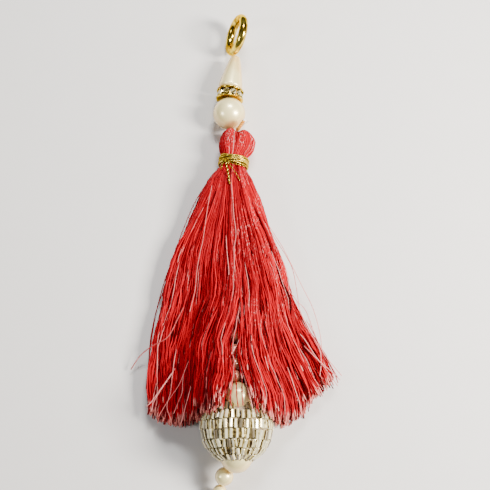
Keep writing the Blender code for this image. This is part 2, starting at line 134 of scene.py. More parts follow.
# Rows of bugle beads round the ball: latitude where the row starts and ends, beads in the row
BUGLE_ROWS = (
    (-54.5, -40.5, 28), (-40.2, -25.3, 35), (-25.0, -10.4, 40), (-10.1, 4.9, 42), (5.2, 21.1, 41),
    (21.4, 35.6, 37), (35.9, 47.9, 31), (48.2, 61.5, 24), (61.8, 74.0, 15),
)
BUGLE_RADIUS = 0.56
BUGLE_HOLE_RADIUS = 0.2
BUGLE_EDGE = 0.08
BUGLE_SIDES = 10
BUGLE_LENGTH_SHARE = 0.96
BUGLE_STAGGER = 0.37
BUGLE_PEARL_GAP = 0.3

# Beads and strands stay this far above the surface
LOWEST_Z = 0.02

# Silk head and neck: y, x of the middle, half width, lowest z, highest z
HEAD_SECTIONS = (
    (71.9, 0.0, 1.3, 2.7, 5.2),
    (71.4, 0.0, 2.7, 1.4, 6.5),
    (70.3, 0.0, 3.8, 0.5, 7.4),
    (68.3, -0.05, 4.3, 0.25, 7.75),
    (66.3, -0.25, 4.1, 0.4, 7.6),
    (65.2, -0.5, 3.5, 0.8, 7.1),
    (64.7, -0.7, 2.95, 1.0, 6.9),
    (61.7, -1.2, 2.95, 1.0, 6.9),
)
# The silk packed inside it goes on into the skirt. It has the same columns, a share of the width
# and height, and starts a little lower.
PACKED_SECTIONS = HEAD_SECTIONS + ((60.9, -1.35, 3.3, 1.0, 6.9), (59.0, -1.7, 4.0, 1.3, 6.6))
PACKED_SHARE = 0.9
PACKED_BELOW = 0.15
PACKED_SIDES = 32
NOTCH_DEPTH = 1.3
NOTCH_WIDTH = 1.1
NOTCH_START_Y = 68.3
NOTCH_BLEND = 2.5
# The right lobe sinks by this much for each millimetre from the middle
RIGHT_LOBE_DIP = 0.24
HEAD_STRANDS = 400
HEAD_STRAND_RADIUS = 0.13
# Each strand starts on an oval in the notch and passes these heights
HEAD_ROOT_CENTRE = (70.35, 3.95)
HEAD_ROOT_HALF_WIDTH = 0.35
HEAD_ROOT_HALF_DEPTH = 0.8
HEAD_ROOT_RADIUS = 0.12
HEAD_HEIGHTS = (71.95, 71.7, 71.2, 70.5, 69.6, 68.4, 67.2, 66.2, 65.4, 64.9, 64.4, 63.4, 62.2)
HEAD_LAYERS = (-0.25, -0.12, 0.0, 0.08)
# A strand leans, and crosses its own line at this height
HEAD_CROSSING_Y = 66.0
HEAD_LEAN_LENGTH = 5.0

# Silk skirt as it lies: y, left x, right x, lowest z, highest z
SKIRT_SECTIONS = (
    (0.0, -20.0, 24.0, 0.2, 5.3),
    (8.0, -19.7, 23.4, 0.2, 5.3),
    (15.0, -19.3, 20.0, 0.2, 5.3),
    (22.5, -18.6, 15.9, 0.2, 5.3),
    (30.3, -17.3, 12.8, 0.2, 5.4),
    (38.2, -15.6, 10.4, 0.2, 5.6),
    (46.4, -12.6, 8.0, 0.25, 6.2),
    (52.7, -10.0, 6.1, 0.3, 7.0),
    (57.2, -7.9, 4.2, 0.35, 7.5),
    (59.2, -6.9, 3.4, 0.45, 7.4),
    (61.0, -4.9, 2.2, 0.9, 7.1),
    (62.4, -3.8, 1.6, 1.2, 6.7),
)
ROUND_ABOVE_Y = 57.2
FLAT_BELOW_Y = 40.0
EDGE_FLATTENING = 0.3
EDGE_MARGIN = 0.2
SKIRT_TOP_Y = 62.3
# Line of the cut ends: x, y
SKIRT_TIPS = (
    (-20.0, 4.6), (-17.7, 2.6), (-12.5, 0.9), (-8.8, 2.2), (-2.8, 3.8), (0.0, 3.8), (4.7, 2.6),
    (8.8, 1.3), (10.7, 0.9), (14.3, 3.2), (16.2, 6.1), (19.0, 8.3), (23.6, 11.0),
)
# An end is cut this far above the line: mean, spread, least, most
TIP_SCATTER = (0.4, 0.8, -0.8, 8.0)
SHORT_SHARE = 0.15
SHORT_BY = (1.0, 6.0)
TIPS_MEASURED_AT_Y = 5.0
# The upper strands rise over the string of pearls and the ball: y, rise at the middle
UPPER_FROM = 0.33
RISE = ((0.0, 12.9), (3.5, 12.7), (6.5, 12.2), (8.5, 11.1), (10.5, 9.3), (13.5, 7.5), (18.0, 6.1),
        (24.0, 4.8), (30.0, 3.2), (40.0, 1.5), (57.2, 0.5), (60.0, 0.0))
RISE_FLAT_HALF_WIDTH = 2.5
RISE_END_HALF_WIDTH = 13.0
# They part over the pearls: y, x of the parting, half width of the gap
PARTING = ((0.0, 0.4, 3.0), (6.5, 0.3, 2.7), (10.5, -0.1, 1.8), (14.0, -0.5, 1.4), (18.0, -0.7, 1.15),
           (24.0, 0.5, 0.45), (29.0, 1.2, 0.0))
PARTING_TOP_Y = 36.0
PARTING_BLEND = 8.0
PARTING_U = 0.24
# Most strands over the ball are cut along an arch: distance from its middle, lowest y of the ends
ARCH_MIDDLE_X = 0.2
ARCH = ((0.0, 11.5), (2.2, 9.4), (3.7, 4.9), (5.8, 3.2), (6.5, 0.0))
ARCH_SHARE = 0.93
LOWER_STOP_HALF_WIDTH = 8.3
LOWER_STOP_Y = 9.0
LAYER_STRANDS = 630
STRAND_POINTS = 34
STRAND_RADII = (0.115, 0.17)
PALE_SHARE = 0.05
PALE_THICKNESS = 0.65
SIDES_MEET_AT_U = 0.06
MIDDLE_FROM = -0.3
CRIMP = 0.08
END_SPREAD = 0.5
END_TAPER = 0.8
# Strands lie in locks. Each lock has two waves and each strand one sideways and one up and down:
# least and most amount, least and most length
LOCKS = 34
LOCK_WAVES = (((0.15, 0.5), (18, 42)), ((0.05, 0.15), (7, 13)))
SIDEWAYS_WAVE = ((0.1, 0.45), (14, 34))
UPWARD_WAVE = ((0.05, 0.25), (10, 24))
PHASES = (0, 6.28)

# Gold thread round the neck
BINDING_CENTRE = Vector((-0.95, 62.95, 3.95))
BINDING_YAW_DEG = -8.0
BINDING_HALF_HEIGHT = 0.85
BINDING_RADIUS = 3.15
BINDING_THICKNESS = 0.5
BINDING_THREAD_RADIUS = 0.15
BINDING_TURNS = 24
BINDING_PAINTED_SHADE_SHARE = 0.62
BINDING_STEPS = 72
BINDING_RIPPLE = 0.05
KNOT_CENTRE = Vector((-2.9, 62.3, 7.35))
KNOT_LOOPS = 7
KNOT_LOOP_RADIUS = 0.5
KNOT_THREAD_RADIUS = 0.16
BINDING_TAILS = (
    ((-2.8, 62.2, 7.8), (-2.5, 60.6, 8.15), (-2.1, 58.4, 8.25), (-1.8, 56.0, 8.35)),
    ((-2.8, 62.2, 7.8), (-1.6, 60.6, 8.1), (-0.4, 58.8, 8.2), (0.6, 57.0, 8.2)),
    ((-2.8, 62.2, 7.8), (-1.2, 61.3, 8.0), (0.4, 60.9, 8.0), (1.8, 60.5, 7.9)),
    ((-3.0, 62.2, 7.6), (-3.6, 61.2, 7.5), (-3.9, 60.1, 7.6)),
)
FIRST_TAIL_WIDTH = 0.14
OTHER_TAIL_WIDTH = 0.08
TAIL_PITCH = 0.9

# Cord end and thread end in the notch of the head
CORD_PATH = ((-0.05, 71.75, 4.6), (-0.05, 71.3, 5.7), (0.0, 70.6, 6.7), (0.35, 70.6, 7.6),
             (1.0, 71.5, 8.1), (1.75, 72.4, 8.4))
THREAD_END_PATH = ((0.95, 71.3, 6.75), (1.5, 71.6, 7.2), (2.2, 72.1, 7.5), (2.8, 72.5, 7.7))
# How each is twisted: ply radius, distance of a ply from the middle, length of one turn, plies
CORD_TWIST = (0.24, 0.2, 1.7, 3)
THREAD_END_TWIST = (0.1, 0.08, 0.9, 2)
CHAIN_THREAD_TWIST = (0.14, 0.11, 1.2, 2)

# Floor, and the lights: name, place, aim, width and height, watts, colour
FLOOR_HALF_M = 1.2
LIGHTS = (
    ("key", (225, 18, 196), (0, 20, 4), (70, 110), 3.2, (1.0, 0.96, 0.90)),
    ("fill", (-260, -20, 220), (0, 40, 4), (80, 80), 0.45, (0.95, 0.97, 1.0)),
    ("top", (30, 220, 240), (0, 85, 4), (90, 50), 1.0, (1.0, 1.0, 1.0)),
)
STUDIO_COLOUR = (0.82, 0.84, 0.88, 1.0)
STUDIO_STRENGTH = 0.13


# Small helpers

def smooth_step(value):
    """0 below 0, 1 above 1 and smooth between, for a number or an array."""
    value = np.clip(value, 0.0, 1.0)
    return value * value * (3 - 2 * value)


def column(table, key, index):
    """A table's column where its first column is key, straight between the rows."""
    rows = sorted(table)
    return np.interp(key, [row[0] for row in rows], [row[index] for row in rows])


def smooth_path(points, count):
    """Points on a Catmull-Rom curve through a route's own points."""
    controls = [Vector(p) for p in points]
    controls = [controls[0] * 2 - controls[1], *controls, controls[-1] * 2 - controls[-2]]
    spans = len(controls) - 3
    path = []
    for k in range(count + 1):
        position = min(k * spans / count, spans - 1e-6)
        span = int(position)
        t = position - span
        a, b, c, d = controls[span:span + 4]
        path.append(0.5 * (2 * b + (c - a) * t + (2 * a - 5 * b + 4 * c - d) * t ** 2
                           + (3 * b - a - 3 * c + d) * t ** 3))
    return path


# Shader maths

class Wire:
    """A shader socket that takes part in sums with numbers and other wires."""

    def __init__(self, bench, socket):
        self.bench = bench
        self.socket = socket

    def sum(self, operation, first, second=0.0):
        return self.bench.add("ShaderNodeMath", {"operation": operation}, {0: first, 1: second})

    def __add__(self, other):
        return self.sum("ADD", self, other)

    __radd__ = __add__

    def __mul__(self, other):
        return self.sum("MULTIPLY", self, other)

    __rmul__ = __mul__

    def __sub__(self, other):
        return self.sum("SUBTRACT", self, other)

    def __rsub__(self, other):
        return self.sum("SUBTRACT", other, self)

    def clamped(self):
        return self.bench.add("ShaderNodeClamp", {}, {0: self})

    def step(self, low, high):
        """0 below low, 1 above high and smooth between."""
        return self.bench.add("ShaderNodeMapRange", {"interpolation_type": "SMOOTHSTEP"},
                              {0: self, 1: low, 2: high, 3: 0.0, 4: 1.0})

    def sine(self):
        return self.sum("SINE", self)


class Bench:
    """One material and the nodes that are added to it."""

    def __init__(self, name):
        self.material = bpy.data.materials.new(name)
        self.material.use_nodes = True
        self.tree = self.material.node_tree
        self.shader = self.tree.nodes["Principled BSDF"]

    def add(self, kind, settings, sockets, output=0):
        """Add a node: settings first, then the values or wires of its sockets."""
        node = self.tree.nodes.new(kind)
        for key, value in settings.items():
            if key == "stops":
                self.set_stops(node.color_ramp, value)
            else:
                setattr(node, key, value)
        for key, value in sockets.items():
            self.join(node.inputs[key], value)
        return Wire(self, node.outputs[output])

    def join(self, socket, value):
        if isinstance(value, Wire):
            self.tree.links.new(value.socket, socket)
        else:
            socket.default_value = value

    @staticmethod
    def set_stops(ramp, stops):
        while len(ramp.elements) < len(stops):
            ramp.elements.new(0.5)
        for element, (position, colour) in zip(ramp.elements, stops):
            element.position = position
            element.color = (*colour, 1.0)

    def place(self, scale=(1, 1, 1)):
        """Object coordinates, stretched by scale."""
        coordinates = self.add("ShaderNodeTexCoord", {}, {}, "Object")
        return self.add("ShaderNodeMapping", {}, {"Vector": coordinates, "Scale": scale})

    def noise(self, size_mm, stretch=(1, 1, 1), detail=2.0):
        """Noise from 0 to 1 whose blobs are about size_mm across."""
        return self.add("ShaderNodeTexNoise", {},
                        {"Vector": self.place(stretch), "Scale": 1.0 / (size_mm * MM), "Detail": detail})

    def attribute(self, name):
        return self.add("ShaderNodeAttribute", {"attribute_name": name}, {}, "Fac")

    def uv(self, axis):
        coordinates = self.add("ShaderNodeUVMap", {"uv_map": "UVMap"}, {})
        return self.add("ShaderNodeSeparateXYZ", {}, {0: coordinates}, axis)

    def ramp(self, value, stops):
        return self.add("ShaderNodeValToRGB", {"stops": stops}, {0: value})

    def mix(self, factor, first, second):
        """Colour between first and second."""
        colours = [c if isinstance(c, Wire) else (*c, 1.0) for c in (first, second)]
        return self.add("ShaderNodeMix", {"data_type": "RGBA"},
                        {0: factor, 6: colours[0], 7: colours[1]}, 2)

    def bump(self, height, depth_mm, strength):
        return self.add("ShaderNodeBump", {},
                        {"Height": height, "Distance": depth_mm * MM, "Strength": strength})

    def set(self, **sockets):
        """Join values or wires to the shader's sockets. Return the finished material."""
        names = {key: key.replace("_", " ").title().replace("Ior", "IOR") for key in sockets}
        for key, value in sockets.items():
            if names[key] == "Base Color" and not isinstance(value, Wire):
                value = (*value, 1.0)
            self.join(self.shader.inputs[names[key]], value)
        return self.material


# Finishes

def silk_finish(name, painted_glint_strength, slub_and_glint_mm, glint_patch_mm):
    """Red silk. Each strand has its own tone, some are pale, painted highlights lie as fine specks in
    patches, and many cut ends are whitish."""
    bench = Bench(name)
    tone = bench.attribute("tone")
    along = bench.attribute("along")
    pale = bench.attribute("pale")
    red = bench.ramp(tone, ((0.0, (0.015, 0.0, 0.0)), (0.25, (0.11, 0.0, 0.002)),
                            (0.6, (0.36, 0.0, 0.006)), (1.0, (0.62, 0.0, 0.011))))
    slub_and_glint = bench.noise(slub_and_glint_mm, (1.0, 0.35, 1.0), 2.0)
    glint_patch = bench.noise(glint_patch_mm, (1.0, 0.3, 1.0), 1.0)
    # Painted highlights: pale pink glints lie in patches on the brighter strands and fade towards the cut
    # ends.
    glint_fading = 1 - along.step(0.5, 0.75) * 0.8
    painted_glints = slub_and_glint.step(0.55, 0.66) * glint_patch.step(0.38, 0.66) * tone.step(0.3, 0.7) * glint_fading * painted_glint_strength
    # The pale mix is partly the colour of pale strands and partly painted highlight.
    pale_and_painted_glints = (pale * slub_and_glint.step(0.25, 0.5) + painted_glints).clamped()
    lit = bench.mix(pale_and_painted_glints, red, (0.85, 0.34, 0.31))
    ends = (along + tone * 0.024).step(0.988, 1.004) * tone.step(0.35, 0.65)
    colour = bench.mix(ends * 0.9, lit, (0.84, 0.29, 0.25))
    return bench.set(base_color=colour, roughness=0.55 - slub_and_glint * 0.2, specular_ior_level=0.04,
                     normal=bench.bump(slub_and_glint, 0.05, 0.6))


def gold_finish():
    """Polished gold plate with painted reflections in soft dark and bright bands, and fine rub marks."""
    bench = Bench("gold_plate")
    painted_reflection_band = bench.noise(2.2, (1, 1, 1), 1.0)
    rub = bench.noise(0.4, (1, 3, 1), 4.0)
    # Painted reflections: the plate turns darker and brighter in soft bands.
    bright = bench.mix(painted_reflection_band.step(0.35, 0.65), (0.22, 0.12, 0.01), (1.0, 0.77, 0.12))
    colour = bench.mix(rub.step(0.3, 0.7) * 0.3, bright, (0.75, 0.50, 0.06))
    return bench.set(base_color=colour, metallic=1.0, roughness=0.10 + rub * 0.12,
                     specular_tint=(1.0, 0.70, 0.18, 1.0), normal=bench.bump(rub, 0.01, 0.3))


def gold_thread_finish():
    """Metal-wrapped thread with painted glints, and painted shade where it lies deep."""
    bench = Bench("gold_thread")
    tone = bench.attribute("tone")
    painted_glint_and_grain = bench.noise(0.3, (1, 1, 1), 3.0)
    # The tone carries painted shade on the deep turns; the noise adds painted glints.
    colour = bench.ramp((tone * 0.7 + painted_glint_and_grain.step(0.35, 0.65) * 0.4).clamped(),
                        ((0.0, (0.02, 0.008, 0.001)), (0.4, (0.13, 0.075, 0.006)),
                         (0.7, (0.50, 0.34, 0.02)), (1.0, (0.95, 0.74, 0.14))))
    return bench.set(base_color=colour, metallic=0.85, roughness=0.36 - painted_glint_and_grain * 0.16,
                     specular_tint=(1.0, 0.66, 0.12, 1.0), normal=bench.bump(painted_glint_and_grain, 0.05, 0.9))


def pearl_finish(name, light, shade):
    """Pearl coat with painted shade, warmer and darker towards its underside, with faint clouds and a glassy
    top layer.
    """
    bench = Bench(name)
    cloud = bench.noise(2.6, (1, 1, 1), 3.0)
    upward = bench.attribute("tone")
    # Painted shade: the colour turns to the shade colour towards the underside and the rim.
    painted_shade = (1 - (upward + cloud * 0.25 - 0.12).step(0.6, 1.0)).clamped()
    colour = bench.mix(painted_shade, light, shade)
    grain = bench.noise(0.25, (1, 1, 1), 2.0)
    return bench.set(base_color=colour, metallic=0.3, roughness=0.3 + grain * 0.06, coat_weight=0.9,
                     coat_roughness=0.07, normal=bench.bump(grain, 0.006, 0.3))


def bugle_finish():
    """Clear bead with a silver lining: painted reflections run along it as bright and dark streaks, some
    beads are smoky.
    """
    bench = Bench("silver_lined_bugle")
    tone = bench.attribute("tone")
    painted_streaks_round_it = 3
    # Painted reflection of the lining: bright and dark streaks round each bead, and flecks; each bead's tone
    # differs at random, and the smoky ones are dark.
    painted_streak = (bench.uv(0) * (2 * math.pi * painted_streaks_round_it) + tone * 40.0).sine() * 0.5 + 0.5
    fleck = bench.noise(0.7, (1, 1, 1), 2.0)
    silver = bench.ramp((painted_streak * 0.6 + fleck.step(0.3, 0.7) * 0.25 + tone * 0.45 - 0.09).clamped(),
                        ((0.0, (0.02, 0.01, 0.002)), (0.34, (0.13, 0.08, 0.02)),
                         (0.48, (0.72, 0.58, 0.22)), (0.8, (1.0, 0.94, 0.64))))
    colour = bench.mix(tone.step(0.84, 0.86) * 0.85, silver, (0.07, 0.035, 0.012))
    return bench.set(base_color=colour, metallic=0.45, roughness=0.14 + fleck * 0.14, coat_weight=1.0,
                     coat_roughness=0.03)


def crystal_finish():
    """Cut rhinestone: each of its faces carries a painted reflection in a tone of its own."""
    bench = Bench("crystal")
    painted_facet_reflection = bench.attribute("tone")
    colour = bench.ramp(painted_facet_reflection, ((0.0, (0.03, 0.018, 0.002)), (0.4, (0.17, 0.12, 0.02)),
                                (0.7, (0.52, 0.43, 0.14)), (1.0, (1.0, 0.96, 0.74))))
    haze = bench.noise(0.3, (1, 1, 1), 1.0)
    return bench.set(base_color=colour, metallic=0.5, roughness=0.02 + haze * 0.05, coat_weight=1.0,
                     coat_roughness=0.01)


def thread_finish(name, colour, dark):
    """Plain twisted thread, fuzzy and slightly uneven."""
    bench = Bench(name)
    fibre = bench.noise(0.18, (1, 1, 1), 3.0)
    tint = bench.mix(fibre.step(0.3, 0.7), dark, colour)
    along = bench.attribute("along")
    tipped = bench.mix(along.step(0.93, 0.97), tint, (0.92, 0.88, 0.80))
    return bench.set(base_color=tipped, roughness=0.55 + fibre * 0.2, sheen_weight=0.1,
                     normal=bench.bump(fibre, 0.03, 0.7))


def ball_core_finish():
    """Dull brown core that shows between the beads; its darkness is painted shade in the gaps."""
    bench = Bench("ball_core")
    cloud = bench.noise(0.6, (1, 1, 1), 3.0)
    colour = bench.mix(cloud, (0.14, 0.08, 0.045), (0.42, 0.33, 0.22))
    return bench.set(base_color=colour, roughness=0.6 + cloud * 0.2)


# Shapes

def dress(piece, material, nodes):
    """Give a new piece its finish and slot. It rides on the root body and stands for the nodes."""
    bpy.context.scene.collection.objects.link(piece)
    piece.data.materials.append(material)
    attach(piece, "root")
    if nodes:
        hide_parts(*nodes)


def new_piece(name, bm, material, nodes, smooth_deg=45):
    """Turn a bmesh in metres into a finished piece."""
    mesh = bpy.data.meshes.new(name)
    bm.to_mesh(mesh)
    bm.free()
    mesh.shade_smooth()
    mesh.set_sharp_from_angle(angle=math.radians(smooth_deg))
    dress(bpy.data.objects.new(name, mesh), material, nodes)


def spun(profile, steps, place=Matrix.Identity(4)):
    """Spin an outline of (radius, height) round Z. It ends on the axis, or closes on itself."""
    bm = bmesh.new()
    points = [bm.verts.new((radius * MM, 0, height * MM)) for radius, height in profile]
    edges = [bm.edges.new(pair) for pair in zip(points, points[1:])]
    if profile[0][0] > 0:
        edges.append(bm.edges.new((points[-1], points[0])))
    bmesh.ops.spin(bm, geom=points + edges, cent=(0, 0, 0), axis=(0, 0, 1), angle=2 * math.pi, steps=steps,
                   use_merge=True)
    bmesh.ops.remove_doubles(bm, verts=bm.verts, dist=0.002 * MM)
    bmesh.ops.recalc_face_normals(bm, faces=bm.faces)
    bmesh.ops.transform(bm, matrix=place, verts=bm.verts)
    return bm


def at(place, turn=Matrix.Identity(4)):
    """Turn, then move to a place in millimetres."""
    return Matrix.Translation(Vector(place) * MM) @ turn


# Local +Z, the axis that shapes are spun round, turned to run up the tassel
UP_THE_TASSEL = Matrix.Rotation(math.radians(-90), 4, "X")


def turn_z(degrees):
    return Matrix.Rotation(math.radians(degrees), 4, "Z")


def extruded(bm, edges):
    """Extrude edges on the spot. Return the new vertices and the new edges."""
    grown = bmesh.ops.extrude_edge_only(bm, edges=edges)["geom"]
    verts = [item for item in grown if isinstance(item, bmesh.types.BMVert)]
    return verts, [item for item in grown if isinstance(item, bmesh.types.BMEdge)]


def merge(bm, other, place):
    """Add a copy of the mesh other to bm, moved by place. Return its new vertices."""
    before = len(bm.verts)
    bm.from_mesh(other)
    bm.verts.ensure_lookup_table()
    added = bm.verts[before:]
    bmesh.ops.transform(bm, matrix=place, verts=added)
    return added


def tube_mesh(name, strands, sides, tones, pales):
    """Many thin tubes in one mesh. Each strand is an array of x, y, z, radius rows in millimetres.

    The mesh has along, tone and pale values at each point: how far along its strand it lies, and the
    strand's own two values.
    """
    curve = bpy.data.curves.new(name, "CURVE")
    curve.dimensions = "3D"
    curve.bevel_depth = MM
    curve.bevel_resolution = (sides - 4) // 2
    curve.use_fill_caps = True
    curve.twist_mode = "MINIMUM"
    for strand in strands:
        spline = curve.splines.new("POLY")
        spline.points.add(len(strand) - 1)
        places = np.ones((len(strand), 4))
        places[:, :3] = strand[:, :3] * MM
        spline.points.foreach_set("co", places.ravel())
        spline.points.foreach_set("radius", strand[:, 3])
    holder = bpy.data.objects.new(name, curve)
    bpy.context.scene.collection.objects.link(holder)
    mesh = bpy.data.meshes.new_from_object(holder.evaluated_get(bpy.context.evaluated_depsgraph_get()))
    bpy.data.objects.remove(holder, do_unlink=True)
    counts = [len(strand) for strand in strands]
    tones = np.full(len(strands), 0.5) if tones is None else np.asarray(tones)
    pales = np.zeros(len(strands)) if pales is None else np.asarray(pales)
    # The caps come first, last strand first and its far end first, and then the walls in order
    cap_along = np.tile(np.repeat((1.0, 0.0), sides), len(strands))
    wall_along = np.concatenate([np.repeat(np.linspace(0, 1, count), sides) for count in counts])
    values = {"along": np.concatenate((cap_along, wall_along))}
    for key, per_strand in (("tone", tones), ("pale", pales)):
        caps = np.repeat(per_strand[::-1], 2 * sides)
        walls = np.repeat(per_strand, np.array(counts) * sides)
        values[key] = np.concatenate((caps, walls))
    for key, numbers in values.items():
        layer = mesh.attributes.new(key, "FLOAT", "POINT")
        layer.data.foreach_set("value", numbers.astype(np.float32))
    bm = bmesh.new()
    bm.from_mesh(mesh)
    bmesh.ops.remove_doubles(bm, verts=bm.verts, dist=0.0005 * MM)
    bm.to_mesh(mesh)
    bm.free()
    mesh.shade_smooth()
    mesh.name = name
    return mesh


def tube_piece(name, strands, sides, material, nodes, tones=None, pales=None):
    """Make the strands one finished piece."""
    mesh = tube_mesh(name, strands, sides, tones, pales)
    dress(bpy.data.objects.new(name, mesh), material, nodes)


def route(points, radius):
    """Rows of x, y, z, radius for tube_mesh."""
    return np.array([(*point, radius) for point in points])


def thread_loop(centre, turn, radius, thread_radius, steps):
    """A closed loop of thread round a centre, as rows for tube_mesh. turn tips it from lying flat."""
    points = []
    for step in range(steps + 1):
        angle = 2 * math.pi * step / steps
        points.append(centre + turn @ Vector((radius * math.cos(angle), radius * math.sin(angle), 0.0)))
    return route(points, thread_radius)


def plies(path, ply_radius, spread, pitch, count):
    """Threads twisted round each other along a path."""
    twisted = [[] for _ in range(count)]
    travelled = 0.0
    side = Vector((0, 0, 1))
    for k, point in enumerate(path):
        ahead = path[min(k + 1, len(path) - 1)] - path[max(k - 1, 0)]
        ahead.normalize()
        side = (side - ahead * side.dot(ahead)).normalized()
        other = ahead.cross(side)
        if k:
            travelled += (point - path[k - 1]).length
        for ply in range(count):
            angle = 2 * math.pi * (travelled / pitch + ply / count)
            offset = side * math.cos(angle) * spread + other * math.sin(angle) * spread
            twisted[ply].append((*(point + offset), ply_radius))
    return [np.array(rows) for rows in twisted]


# Ring, drop bead and rondelle

def build_ring(gold):
    wire = []
    for k in range(RING_WIRE_SIDES):
        angle = 2 * math.pi * k / RING_WIRE_SIDES
        wire.append((RING_RADIUS + RING_WIRE_RADIUS * math.cos(angle), RING_WIRE_RADIUS * math.sin(angle)))
    lean = Matrix.Rotation(math.radians(RING_LEAN_DEG), 4, "Y")
    bm = spun(wire, RING_STEPS, at(RING_CENTRE, turn_z(RING_YAW_DEG) @ lean))
    new_piece("gold_ring", bm, gold, ["ring"])


def build_drop(pearl):
    """Turned from the hole in its tip, down the bulging side and round the shoulder to the base."""
    top = DROP_LENGTH - DROP_TIP_EDGE
    outline = [(radius, DROP_LENGTH - depth) for radius, depth in DROP_TIP_PROFILE]
    outline.append((DROP_TIP_RADIUS, top))
    for k in range(1, DROP_SIDE_STEPS + 1):
        t = k / DROP_SIDE_STEPS
        radius = DROP_TIP_RADIUS + (DROP_RADIUS - DROP_TIP_RADIUS) * t + DROP_BULGE * 4 * t * (1 - t)
        outline.append((radius, top - t * (top - DROP_SHOULDER)))
    for k in range(1, DROP_SHOULDER_STEPS + 1):
        angle = math.pi / 2 * k / DROP_SHOULDER_STEPS
        radius = DROP_RADIUS * (1 - DROP_SHOULDER_SHARE * (1 - math.cos(angle)))
        outline.append((radius, DROP_SHOULDER * (1 - math.sin(angle))))
    outline.append((0.0, 0.0))
    bm = spun(outline, DROP_STEPS, at(DROP_BASE, turn_z(DROP_LEAN_DEG) @ UP_THE_TASSEL))
    mark_upward(bm, DROP_BASE[2] + DROP_SHADING_RISE, DROP_SHADING_RADIUS)
    new_piece("cream_drop", bm, pearl, ["drop_bead"])


def build_rondelle(gold, crystal):
    """Two rims with a groove between them for the stones, a seat for the pearl, and small posts."""
    half = RONDELLE_THICKNESS / 2
    inner = half - RONDELLE_RIM
    outline = [(RONDELLE_BORE, half), (RONDELLE_FACE_RADIUS, half)]
    for side in (1, -1):
        middle = side * (half - RONDELLE_RIM / 2)
        for k in range(1, RONDELLE_RIM_STEPS):
            angle = math.pi * k / RONDELLE_RIM_STEPS
            outline.append((RONDELLE_RADIUS - RONDELLE_RIM_ROUND * (1 - math.sin(angle)),
                            middle + RONDELLE_RIM / 2 * math.cos(angle)))
        if side == 1:
            outline += [(RONDELLE_GROOVE_RADIUS, inner), (RONDELLE_CORE, inner),
                        (RONDELLE_CORE, -inner), (RONDELLE_GROOVE_RADIUS, -inner)]
    outline.append((RONDELLE_FACE_RADIUS, -half))
    outline += [(radius, height - half) for radius, height in reversed(RONDELLE_SEAT)]
    outline.append((RONDELLE_BORE, RONDELLE_SEAT[0][1] - half))
    bm = spun(outline, RONDELLE_STEPS)
    post = spun(POST_PROFILE, POST_SIDES)
    post_mesh = bpy.data.meshes.new("post")
    post.to_mesh(post_mesh)
    post.free()
    outward = Matrix.Rotation(math.radians(90), 4, "Y")
    for k in range(STONE_COUNT):
        for height in POST_HEIGHTS:
            stand = at((POST_MIDDLE_RADIUS, 0, height), outward)
            merge(bm, post_mesh, turn_z(360 * k / STONE_COUNT) @ stand)
    place = at(RONDELLE_CENTRE, turn_z(RONDELLE_LEAN_DEG) @ UP_THE_TASSEL)
    bmesh.ops.transform(bm, matrix=place, verts=bm.verts)
    new_piece("rondelle_gold", bm, gold, ["rondelle"], smooth_deg=35)
    build_stones(crystal)


def by_place(face):
    """Sort key of a face, its middle in whole micrometres, so that facets always come in the same order."""
    return [round(value / MM, 3) for value in face.calc_center_median()]


def build_stones(crystal):
    """Rhinestones with a flat table, two rows of facets and a pointed back."""
    chance = random.Random(5)
    bm = bmesh.new()
    tone = bm.verts.layers.float.new("tone")
    for k in range(STONE_COUNT):
        angle = 2 * math.pi * (k + 0.5) / STONE_COUNT
        outward = turn_z(RONDELLE_LEAN_DEG) @ Vector((math.sin(angle), 0, math.cos(angle)))
        stone = bmesh.new()
        bmesh.ops.create_circle(stone, segments=STONE_SIDES, radius=STONE_RADIUS * MM, cap_ends=False)
        edges = list(stone.edges)
        for width, height in STONE_CROWN:
            ring, edges = extruded(stone, edges)
            radius = max(vert.co.xy.length for vert in ring)
            scale = width * STONE_RADIUS * MM / radius
            for vert in ring:
                vert.co.x *= scale
                vert.co.y *= scale
                vert.co.z = height * MM
            twist = Matrix.Rotation(math.radians(STONE_TWIST_DEG), 3, "Z")
            bmesh.ops.rotate(stone, verts=ring, cent=(0, 0, 0), matrix=twist)
        bmesh.ops.edgenet_fill(stone, edges=edges)
        tips, _ = extruded(stone, [edge for edge in stone.edges if edge.is_boundary])
        bmesh.ops.pointmerge(stone, verts=tips, merge_co=(0, 0, -STONE_TIP_DEPTH * MM))
        bmesh.ops.triangulate(stone, faces=stone.faces)
        bmesh.ops.split_edges(stone, edges=stone.edges)
        bmesh.ops.recalc_face_normals(stone, faces=stone.faces)
        mesh = bpy.data.meshes.new("stone")
        stone.to_mesh(mesh)
        stone.free()
        turn = outward.to_track_quat("Z", "Y").to_matrix().to_4x4()
        earlier = len(bm.faces)
        merge(bm, mesh, at(RONDELLE_CENTRE + outward * STONE_MIDDLE_RADIUS, turn))
        bm.faces.ensure_lookup_table()
        # Each face of a stone gets a random tone for its painted reflection.
        for face in sorted(bm.faces[earlier:], key=by_place):
            shade = chance.random()
            for vert in face.verts:
                vert[tone] = shade
    nodes = [f"stone_{k + 1}" for k in range(STONE_COUNT)]
    new_piece("rhinestones", bm, crystal, nodes, smooth_deg=5)


# Pearls

def pearl_outline(radius):
    """From the rim of the hole, round the outside, to the other rim and back through the hole."""
    start = math.asin(PEARL_HOLE_RADIUS / radius)
    outline = []
    for k in range(PEARL_OUTLINE_STEPS + 1):
        angle = start + (math.pi - 2 * start) * k / PEARL_OUTLINE_STEPS
        outline.append((radius * math.sin(angle), radius * math.cos(angle)))
    return outline


